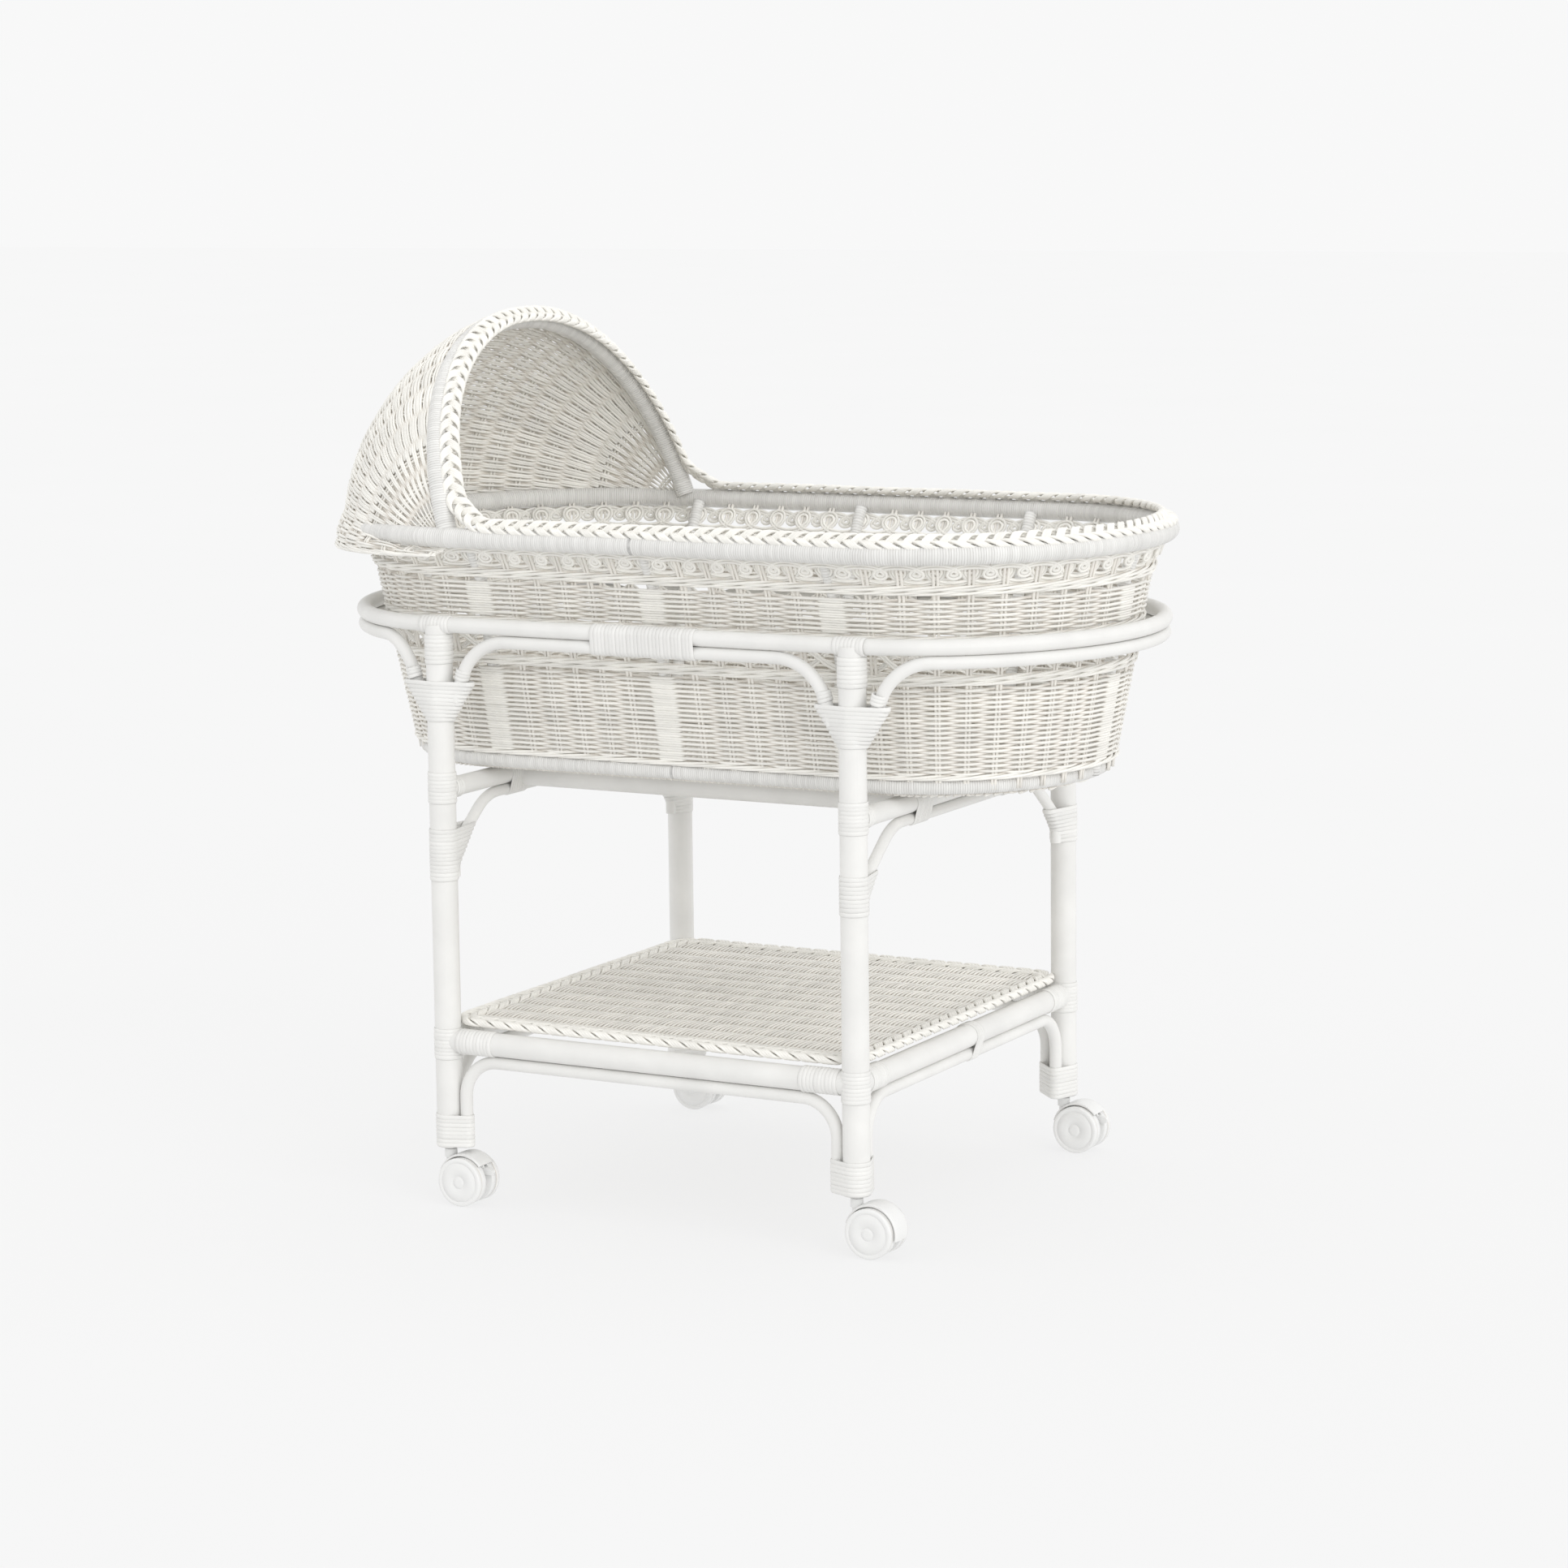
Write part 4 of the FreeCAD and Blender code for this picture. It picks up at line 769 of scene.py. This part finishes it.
def build_bindings(settings):
    cane = settings.cane_width / MM
    material = bpy.data.materials["Cane Binding"]
    names = ("ring_cap_bindings", "web_bindings", "rail_joint_bindings", "arch_foot_bindings",
             "shelf_joint_bindings", "rail_arch_ties", "foot_bindings")
    sets = {name: Batch(60 + i) for i, name in enumerate(names)}
    X, Y, Z = np.eye(3)

    for sx, sy in CORNERS.values():
        leg = np.array([sx * LEG_X, sy * LEG_Y, 0.0])
        upright = (leg, X * sx, Y * sy, Z)
        round_leg = [(0, 0, LEG_R)]

        caps = sets["ring_cap_bindings"]
        wind(caps, lambda level: [(sy * RING_Y, RING_Z, RING_R)],
             levels_between(-16.5, 16.5, cane), ((sx * LEG_X, 0, 0), Y, Z, X), cane)
        wind(caps, lambda level: round_leg, levels_between(555, 584, cane), upright, cane)

        def web(level):
            half = np.interp(level, (497, 537), (8.0, 34.0))
            return [(0, 0, LEG_R), (half, 0, ARCH_R), (-half, 0, ARCH_R)]
        wind(sets["web_bindings"], web, levels_between(497, 537, cane), upright, cane)
        for side in (-1, 1):
            lean = unit(np.array([side * 20.0, 0.0, 70.0]))
            start = leg + np.array([sx * side * (LEG_R + ARCH_R + 8.0), (sy * (RING_Y - LEG_Y)), 541.0])
            tangent = lean * np.array([sx, 1, 1])
            first = unit(np.cross(tangent, Y))
            wind(sets["web_bindings"], lambda level: [(0, 0, ARCH_R)],
                 np.arange(3) * 3.4, (start, first, Y, tangent), 3.4)

        wind(sets["rail_joint_bindings"], lambda level: round_leg,
             levels_between(413, 444, cane), upright, cane)
        wind(sets["rail_joint_bindings"], lambda level: [(0, 0, SIDE_RAIL_R)], levels_between(14.5, 27, cane),
             ((sx * LEG_X, sy * LEG_Y, SIDE_RAIL_Z), X, Z, -Y * sy), cane)

        top = 386 if sx < 0 else 372

        def bracket(level):
            lean = np.interp(level, (334, 350, 386), (11.0, 19.5, 49.0))
            return [(0, 0, LEG_R), (0, -lean, SIDE_ARCH_R)]
        wind(sets["arch_foot_bindings"], bracket, levels_between(334, top, cane), upright, cane)

        ties = sets["rail_arch_ties"]
        section = [(SIDE_RAIL_Z, 0, SIDE_RAIL_R), (SIDE_ARCH_Z, 0, SIDE_ARCH_R)]
        wind(ties, lambda level: section, levels_between(87, 121, cane),
             ((sx * LEG_X, 0, 0), Z, X, Y * sy), cane)

        joints = sets["shelf_joint_bindings"]
        wind(joints, lambda level: round_leg, levels_between(150, 181, cane), upright, cane)
        wind(joints, lambda level: [(0, 0, SHELF_RAIL_R)], levels_between(16, 57, cane),
             ((sx * LEG_X, sy * LEG_Y, SHELF_RAIL_Z), Y, Z, -X * sx), cane)
        wind(joints, lambda level: [(0, 0, SHELF_RAIL_R)], levels_between(16, 49, cane),
             ((sx * LEG_X, sy * LEG_Y, SHELF_RAIL_Z), X, Z, -Y * sy), cane)

        step = LEG_R + ARCH_R + 0.3
        foot = [(0, 0, LEG_R), (-step, 0, ARCH_R), (0, -step, ARCH_R)]
        wind(sets["foot_bindings"], lambda level: foot, levels_between(59, 92, cane), upright, cane)

    for sy in (-1, 1):
        section = [(sy * RING_Y, RING_Z, RING_R), (sy * RING_Y, RING_Z - RING_R - ARCH_R - 0.3, ARCH_R)]
        wind(sets["rail_arch_ties"], lambda level: section, levels_between(-51, 65, cane),
             ((0, 0, 0), Y, Z, X), cane)
    for sx in (-1, 1):
        section = [(0, SHELF_RAIL_Z, SHELF_RAIL_R), (0, SHELF_ARCH_Z, ARCH_R)]
        wind(sets["rail_arch_ties"], lambda level: section, np.arange(5) * 3.2 + 4.0,
             ((sx * LEG_X, 0, 0), X, Z, Y), 3.2, tilt=0.25)
    for name, batch in sets.items():
        batch.build(name + "_wound", material, "stand", [name], "cane")


# -------------------------------------------------------------------- casters
WHEEL_PROFILE = (
    (3.2, 5.5), (24.0, 5.5), (24.6, 6.2), (24.6, 13.2), (23.8, 13.5), (23.8, 14.2), (24.7, 14.5),
    (25.0, 15.2), (25.0, 18.4), (24.5, 19.2), (23.4, 19.6), (20.7, 19.8), (20.4, 19.5), (20.0, 19.5),
    (19.7, 19.85), (14.0, 19.95), (7.0, 20.05), (6.7, 19.75), (6.3, 19.75), (6.0, 20.05), (3.0, 20.1),
    (0.0, 20.1),
)
WHEEL_GAP_ROWS = (4, 5)
FENDER_PROFILE = (
    (26.0, -13.0), (27.2, -13.1), (28.0, -12.3), (28.3, -10.5), (28.4, -6.0), (28.4, 6.0),
    (28.3, 10.5), (28.0, 12.3), (27.2, 13.1), (26.0, 13.0), (26.0, -13.0),
)


def build_casters():
    plastic = bpy.data.materials["Moulded Plastic"]
    for corner, (sx, sy) in CORNERS.items():
        stem = np.array([sx * LEG_X, sy * LEG_Y, 0.0])
        axle = stem + np.array([21.0, 0.0, 25.0])
        for label, way in (("left", -1), ("right", 1)):
            wheel = Batch(70)
            crevice_shade = [1.0 if row in WHEEL_GAP_ROWS else 0.0 for row in range(len(WHEEL_PROFILE))]
            wheel.lathe(WHEEL_PROFILE, axle, (0, way, 0), (1, 0, 0), steps=72, crevice_shade=crevice_shade)
            node = "wheel_%s_%s" % (corner, label)
            material = bpy.data.materials["Wheel Plastic"]
            wheel.build(node + "_turned", material, node, [node], "wheel_plastic")
        body = Batch(71)
        back = 40.0 if corner in BRAKED else -12.0
        body.lathe(FENDER_PROFILE, axle, (0, -1, 0), (1, 0, 0), back, 165.0, 40)
        ends = np.array(FENDER_PROFILE[:-1])
        for angle in (back, 165.0):
            turn = math.radians(angle)
            arm = np.array([math.cos(turn), 0.0, math.sin(turn)])
            lid = axle + arm * ends[:, :1] + np.array([0.0, -1.0, 0.0]) * ends[:, 1:2]
            middle = np.broadcast_to(lid.mean(0), lid.shape)
            body.grid(np.stack([lid, middle])[None], 0.0, 0.0, 0.5, False, True)
        body.build("caster_fender_" + corner, plastic, "caster_" + corner, [], "housing_plastic")


# ------------------------------------------------------------------ materials
class Nodes:
    """Short hand for wiring one node tree."""

    def __init__(self, tree):
        self.tree = tree

    def add(self, kind, inputs=None, **settings):
        node = self.tree.nodes.new(kind)
        for key, value in settings.items():
            setattr(node, key, value)
        for key, value in (inputs or {}).items():
            socket = node.inputs[key]
            if isinstance(value, bpy.types.NodeSocket):
                self.tree.links.new(value, socket)
            else:
                socket.default_value = value
        return node

    def math(self, operation, a, b=0.0, clamp=False):
        return self.add("ShaderNodeMath", {0: a, 1: b}, operation=operation, use_clamp=clamp).outputs[0]

    def mix(self, factor, a, b):
        node = self.add("ShaderNodeMix", {0: factor, 6: a, 7: b}, data_type="RGBA")
        return node.outputs[2]

    def toned(self, color, tone):
        return self.add("ShaderNodeVectorMath", {0: color, "Scale": tone}, operation="SCALE").outputs[0]

    def span(self, value, low, high, to_low=0.0, to_high=1.0):
        return self.add("ShaderNodeMapRange", {0: value, 1: low, 2: high, 3: to_low, 4: to_high}).outputs[0]

    def link(self, a, b):
        self.tree.links.new(a, b)


def new_group(name, inputs, outputs):
    """An empty shader group with its sockets, and the nodes at its two ends."""
    group = bpy.data.node_groups.new(name, "ShaderNodeTree")
    for label, kind, value in inputs:
        socket = group.interface.new_socket(label, in_out="INPUT", socket_type=kind)
        if value is not None:
            socket.default_value = value
    for label, kind in outputs:
        group.interface.new_socket(label, in_out="OUTPUT", socket_type=kind)
    nodes = Nodes(group)
    return nodes, nodes.add("NodeGroupInput"), nodes.add("NodeGroupOutput")


def brushed_paint_group():
    """Uneven brushed white: soft blotches, thin spots, and fine grain for the surface."""
    nodes, start, end = new_group(
        "Brushed Paint",
        [("Paint", "NodeSocketColor", None), ("Under", "NodeSocketColor", None),
         ("Wear", "NodeSocketFloat", 0.1), ("Scale", "NodeSocketFloat", 1.0)],
        [("Color", "NodeSocketColor"), ("Roughness", "NodeSocketFloat"), ("Height", "NodeSocketFloat")])
    place = nodes.add("ShaderNodeTexCoord").outputs["Object"]
    scaled = nodes.toned(place, start.outputs["Scale"])
    blotch = nodes.add("ShaderNodeTexNoise", {"Vector": scaled, "Scale": 22.0, "Detail": 4.0})
    grain = nodes.add("ShaderNodeTexNoise", {"Vector": scaled, "Scale": 420.0, "Detail": 3.0})
    thin = nodes.span(grain.outputs[0], 0.62, 0.80)
    thin = nodes.math("MULTIPLY", thin, start.outputs["Wear"])
    tone = nodes.span(blotch.outputs[0], 0.3, 0.7, 0.955, 1.03)
    color = nodes.mix(thin, nodes.toned(start.outputs["Paint"], tone), start.outputs["Under"])
    nodes.link(color, end.inputs["Color"])
    nodes.link(nodes.span(grain.outputs[0], 0.3, 0.7, 0.40, 0.56), end.inputs["Roughness"])
    nodes.link(grain.outputs[0], end.inputs["Height"])
    return nodes.tree


def cane_turns_group():
    """Round-backed turns of cane counted along a pole, with a tone of their own for each, and painted shade
    in the grooves between them.
    """
    nodes, start, end = new_group(
        "Cane Turns",
        [("Along", "NodeSocketFloat", 0.0), ("Pitch", "NodeSocketFloat", 0.0025)],
        [("Height", "NodeSocketFloat"), ("GrooveShade", "NodeSocketFloat"), ("Tone", "NodeSocketFloat")])
    place = nodes.add("ShaderNodeTexCoord").outputs["Object"]
    drift = nodes.add("ShaderNodeTexNoise", {"Vector": place, "Scale": 60.0, "Detail": 1.0}).outputs[0]
    count = nodes.math("DIVIDE", start.outputs["Along"], start.outputs["Pitch"])
    count = nodes.math("ADD", count, nodes.span(drift, 0.0, 1.0, -0.35, 0.35))
    part = nodes.math("FRACT", count)
    centred = nodes.math("ABSOLUTE", nodes.math("SUBTRACT", nodes.math("MULTIPLY", part, 2.0), 1.0))
    cube = nodes.math("POWER", centred, 3.0)
    which = nodes.math("FLOOR", count)
    tone = nodes.add("ShaderNodeTexWhiteNoise", {"W": which}, noise_dimensions="1D").outputs[0]
    nodes.link(nodes.math("SUBTRACT", 1.0, cube), end.inputs["Height"])
    # Painted shade: dark in the narrow grooves between turns, sharper for some turns than for others.
    deep = nodes.math("POWER", centred, nodes.span(tone, 0.0, 1.0, 9.0, 30.0))
    nodes.link(deep, end.inputs["GrooveShade"])
    nodes.link(tone, end.inputs["Tone"])
    return nodes.tree


def start_material(name):
    material = bpy.data.materials.new(name)
    material.use_nodes = True
    material.node_tree.nodes.clear()
    nodes = Nodes(material.node_tree)
    shader = nodes.add("ShaderNodeBsdfPrincipled")
    nodes.add("ShaderNodeOutputMaterial", {"Surface": shader.outputs[0]})
    return material, nodes, shader


def paint_node(nodes, settings, color, wear, scale=1.0):
    group = nodes.add("ShaderNodeGroup", node_tree=bpy.data.node_groups["Brushed Paint"])
    group.inputs["Paint"].default_value = (*color, 1.0)
    group.inputs["Under"].default_value = (*settings.bare_cane_and_crevice_shade, 1.0)
    group.inputs["Wear"].default_value = wear
    group.inputs["Scale"].default_value = scale
    return group


def attribute(nodes, name):
    return nodes.add("ShaderNodeAttribute", attribute_name=name).outputs["Fac"]


def finish_material(nodes, shader, color, roughness, height, strength, distance):
    bump = nodes.add("ShaderNodeBump", {"Strength": strength, "Distance": distance, "Height": height})
    nodes.link(bump.outputs[0], shader.inputs["Normal"])
    nodes.link(color, shader.inputs["Base Color"])
    nodes.link(roughness, shader.inputs["Roughness"])
    shader.inputs["Specular IOR Level"].default_value = 0.35


def make_materials(settings):
    brushed_paint_group()
    cane_turns_group()

    _, nodes, shader = start_material("Painted Pole")
    paint = paint_node(nodes, settings, settings.paint, 0.04)
    finish_material(nodes, shader, paint.outputs["Color"], paint.outputs["Roughness"],
                    paint.outputs["Height"], 0.12, 0.0006)

    _, nodes, shader = start_material("Wicker")
    paint = paint_node(nodes, settings, settings.wicker_paint, 0.25, 1.3)
    # Painted shade: strands and stakes darken towards the bare cane tone, up to 38 percent, the deeper they
    # sit in the weave.
    deep = nodes.span(attribute(nodes, "crevice_shade"), 0.4, 1.0, 0.0, 0.38)
    color = nodes.mix(deep, paint.outputs["Color"], (*settings.bare_cane_and_crevice_shade, 1.0))
    tone = nodes.span(attribute(nodes, "shade"), 0.0, 1.0, 0.93, 1.05)
    color = nodes.toned(color, tone)
    finish_material(nodes, shader, color, paint.outputs["Roughness"], paint.outputs["Height"], 0.3, 0.0004)

    _, nodes, shader = start_material("Cane Binding")
    paint = paint_node(nodes, settings, settings.paint, 0.12, 1.2)
    tone = nodes.span(attribute(nodes, "shade"), 0.0, 1.0, 0.965, 1.03)
    color = nodes.toned(paint.outputs["Color"], tone)
    finish_material(nodes, shader, color, paint.outputs["Roughness"],
                    paint.outputs["Height"], 0.2, 0.0005)

    pitches = {"Wrapped Rim": settings.wrap_pitch, "Wrapped Base": 2.3 * MM, "Wrapped Cane": 3.2 * MM}
    for name, pitch in pitches.items():
        _, nodes, shader = start_material(name)
        paint = paint_node(nodes, settings, settings.paint, 0.10, 1.1)
        turns = nodes.add("ShaderNodeGroup", node_tree=bpy.data.node_groups["Cane Turns"])
        nodes.link(attribute(nodes, "along"), turns.inputs["Along"])
        turns.inputs["Pitch"].default_value = pitch
        tone = nodes.span(turns.outputs["Tone"], 0.0, 1.0, 0.94, 1.04)
        color = nodes.toned(paint.outputs["Color"], tone)
        # Painted shade: the grooves between turns darken towards the bare cane tone.
        groove_shade = nodes.math("MULTIPLY", turns.outputs["GrooveShade"], 0.36)
        color = nodes.mix(groove_shade, color, (*settings.bare_cane_and_crevice_shade, 1.0))
        grain = nodes.math("MULTIPLY", paint.outputs["Height"], 0.3)
        height = nodes.math("ADD", turns.outputs["Height"], grain)
        finish_material(nodes, shader, color, paint.outputs["Roughness"], height, 0.8, 0.0006)

    for name, rough in (("Moulded Plastic", 0.32), ("Wheel Plastic", 0.38)):
        _, nodes, shader = start_material(name)
        place = nodes.add("ShaderNodeTexCoord").outputs["Object"]
        fine = nodes.add("ShaderNodeTexNoise", {"Vector": place, "Scale": 900.0, "Detail": 2.0}).outputs[0]
        cloud = nodes.add("ShaderNodeTexNoise", {"Vector": place, "Scale": 40.0, "Detail": 3.0}).outputs[0]
        color = nodes.mix(nodes.span(cloud, 0.3, 0.7, 0.0, 0.25), (*settings.plastic, 1.0),
                          tuple(0.93 * v for v in settings.plastic) + (1.0,))
        shadowed = nodes.math("MULTIPLY", attribute(nodes, "crevice_shade"), 0.6)
        color = nodes.mix(shadowed, color, (0.62, 0.50, 0.34, 1.0))
        finish_material(nodes, shader, color, nodes.span(fine, 0.3, 0.7, rough - 0.05, rough + 0.08),
                        fine, 0.06, 0.0003)
        shader.inputs["Specular IOR Level"].default_value = 0.5

    _, nodes, shader = start_material("Stem Steel")
    place = nodes.add("ShaderNodeTexCoord").outputs["Object"]
    turned = nodes.add("ShaderNodeTexNoise", {"Vector": place, "Scale": 700.0, "Detail": 3.0}).outputs[0]
    color = nodes.mix(nodes.span(turned, 0.3, 0.7), (*settings.steel, 1.0),
                      tuple(0.8 * v for v in settings.steel) + (1.0,))
    finish_material(nodes, shader, color, nodes.span(turned, 0.3, 0.7, 0.25, 0.4), turned, 0.1, 0.0003)
    shader.inputs["Metallic"].default_value = 1.0


def dress(node, material):
    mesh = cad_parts[node].data
    mesh.materials.clear()
    mesh.materials.append(bpy.data.materials[material])
    mesh.polygons.foreach_set("material_index", [0] * len(mesh.polygons))


# ------------------------------------------------------------------ operators
def settings_of(context):
    return context.scene.bassinet


class BASSINET_OT_poles(bpy.types.Operator):
    """Makes the materials and paints the rattan poles of the stand"""

    bl_idname = "bassinet.poles"
    bl_label = "Paint the poles"

    def execute(self, context):
        make_materials(settings_of(context))
        for node in POLE_NODES:
            dress(node, "Painted Pole")
        return {"FINISHED"}


class BASSINET_OT_bindings(bpy.types.Operator):
    """Winds flat cane round every joint of the stand"""

    bl_idname = "bassinet.bindings"
    bl_label = "Wind the joints"

    def execute(self, context):
        build_bindings(settings_of(context))
        return {"FINISHED"}


class BASSINET_OT_shelf(bpy.types.Operator):
    """Weaves the lower shelf and plaits its edge"""

    bl_idname = "bassinet.shelf"
    bl_label = "Weave the shelf"

    def execute(self, context):
        build_shelf(settings_of(context))
        return {"FINISHED"}


class BASSINET_OT_basket(bpy.types.Operator):
    """Weaves the basket's wall and floor round its stakes and posts"""

    bl_idname = "bassinet.basket"
    bl_label = "Weave the basket"

    def execute(self, context):
        build_wall(settings_of(context))
        build_floor()
        return {"FINISHED"}


class BASSINET_OT_edges(bpy.types.Operator):
    """Winds the rim, base ring and hood pole, and plaits the edge over them"""

    bl_idname = "bassinet.edges"
    bl_label = "Finish the edges"

    def execute(self, context):
        build_rolls()
        build_plaits()
        return {"FINISHED"}


class BASSINET_OT_hood(bpy.types.Operator):
    """Weaves the hood as a fan of strands between its two feet"""

    bl_idname = "bassinet.hood"
    bl_label = "Weave the hood"

    def execute(self, context):
        build_hood(settings_of(context))
        return {"FINISHED"}


class BASSINET_OT_casters(bpy.types.Operator):
    """Turns the wheels and fenders and finishes the caster fittings"""

    bl_idname = "bassinet.casters"
    bl_label = "Make the casters"

    def execute(self, context):
        build_casters()
        for corner in CORNERS:
            dress("caster_housing_" + corner, "Moulded Plastic")
            dress("caster_axle_" + corner, "Stem Steel")
        for corner in BRAKED:
            dress("brake_lever_" + corner, "Moulded Plastic")
        dress("caster_sockets", "Moulded Plastic")
        dress("caster_stems", "Stem Steel")
        return {"FINISHED"}


CAMERA_AT = (2.09066, -3.77932, 1.08164)
CAMERA_TURN_DEG = 28.62
CAMERA_TIP_DEG = 8.81
CAMERA_ROLL_DEG = -0.68
CAMERA_LENS = 97.18


class BASSINET_OT_stage(bpy.types.Operator):
    """Sets up the floor, the soft studio light and the camera"""

    bl_idname = "bassinet.stage"
    bl_label = "Set the stage"

    def execute(self, context):
        settings = settings_of(context)
        scene = context.scene
        bpy.ops.mesh.primitive_plane_add(size=60.0, location=(0, 0, -0.0006))
        floor = context.object
        floor.name = "studio_floor"
        _, nodes, shader = start_material("Studio Floor")
        place = nodes.add("ShaderNodeTexCoord").outputs["Object"]
        cloud = nodes.add("ShaderNodeTexNoise", {"Vector": place, "Scale": 1.5, "Detail": 2.0}).outputs[0]
        color = nodes.mix(nodes.span(cloud, 0.3, 0.7), (*settings.backdrop, 1.0),
                          tuple(0.995 * v for v in settings.backdrop) + (1.0,))
        shader.inputs["Base Color"].default_value = (0.15, 0.15, 0.15, 1.0)
        shader.inputs["Roughness"].default_value = 0.9
        shader.inputs["Specular IOR Level"].default_value = 0.0
        nodes.link(color, shader.inputs["Emission Color"])
        shader.inputs["Emission Strength"].default_value = 0.80
        floor.data.materials.append(bpy.data.materials["Studio Floor"])

        world = bpy.data.worlds.new("Studio")
        world.use_nodes = True
        back = world.node_tree.nodes["Background"]
        back.inputs["Color"].default_value = (*settings.backdrop, 1.0)
        back.inputs["Strength"].default_value = 1.0
        scene.world = world

        lights = (
            ("key", (0.85, -0.45, 0.35), 1.05, 50.0),
            ("fill", (-0.8, -0.6, 0.3), 0.22, 60.0),
            ("top", (0.0, 0.2, 1.0), 0.40, 60.0),
        )
        for name, way, strength, spread in lights:
            data = bpy.data.lights.new(name, "SUN")
            data.energy = strength
            data.angle = math.radians(spread)
            lamp = bpy.data.objects.new(name, data)
            lamp.location = way
            lamp.rotation_euler = (-Vector(way)).to_track_quat("-Z", "Y").to_euler()
            scene.collection.objects.link(lamp)

        data = bpy.data.cameras.new("camera")
        data.lens = CAMERA_LENS
        data.sensor_width = 36.0
        camera = bpy.data.objects.new("camera", data)
        a, e, r = (math.radians(v) for v in (CAMERA_TURN_DEG, CAMERA_TIP_DEG, CAMERA_ROLL_DEG))
        ahead = Vector((-math.sin(a) * math.cos(e), math.cos(a) * math.cos(e), -math.sin(e)))
        right = Vector((math.cos(a), math.sin(a), 0.0))
        up = right.cross(ahead)
        side = right * math.cos(r) + up * math.sin(r)
        top = up * math.cos(r) - right * math.sin(r)
        turn = Matrix((side, top, -ahead)).transposed().to_4x4()
        camera.matrix_world = Matrix.Translation(CAMERA_AT) @ turn
        data.clip_start, data.clip_end = 0.1, 100.0
        scene.collection.objects.link(camera)
        scene.camera = camera
        scene.view_settings.view_transform = "Standard"
        return {"FINISHED"}


class BASSINET_PT_panel(bpy.types.Panel):
    """Sidebar panel with the sizes, colours and building steps"""

    bl_idname = "BASSINET_PT_panel"
    bl_label = "Wicker Bassinet"
    bl_space_type = "VIEW_3D"
    bl_region_type = "UI"
    bl_category = "Bassinet"

    def draw(self, context):
        settings = settings_of(context)
        for name in BassinetSettings.__annotations__:
            self.layout.prop(settings, name)
        for operator in OPERATORS:
            self.layout.operator(operator.bl_idname)


OPERATORS = (
    BASSINET_OT_poles,
    BASSINET_OT_bindings,
    BASSINET_OT_shelf,
    BASSINET_OT_basket,
    BASSINET_OT_edges,
    BASSINET_OT_hood,
    BASSINET_OT_casters,
    BASSINET_OT_stage,
)
CLASSES = (BassinetSettings,) + OPERATORS + (BASSINET_PT_panel,)


def register():
    for each in CLASSES:
        bpy.utils.register_class(each)
    bpy.types.Scene.bassinet = PointerProperty(type=BassinetSettings)


def unregister():
    del bpy.types.Scene.bassinet
    for each in reversed(CLASSES):
        bpy.utils.unregister_class(each)


def main():
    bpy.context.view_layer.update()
    register()
    for operator in OPERATORS:
        group, name = operator.bl_idname.split(".")
        getattr(getattr(bpy.ops, group), name)()


if __name__ == "__main__":
    main()
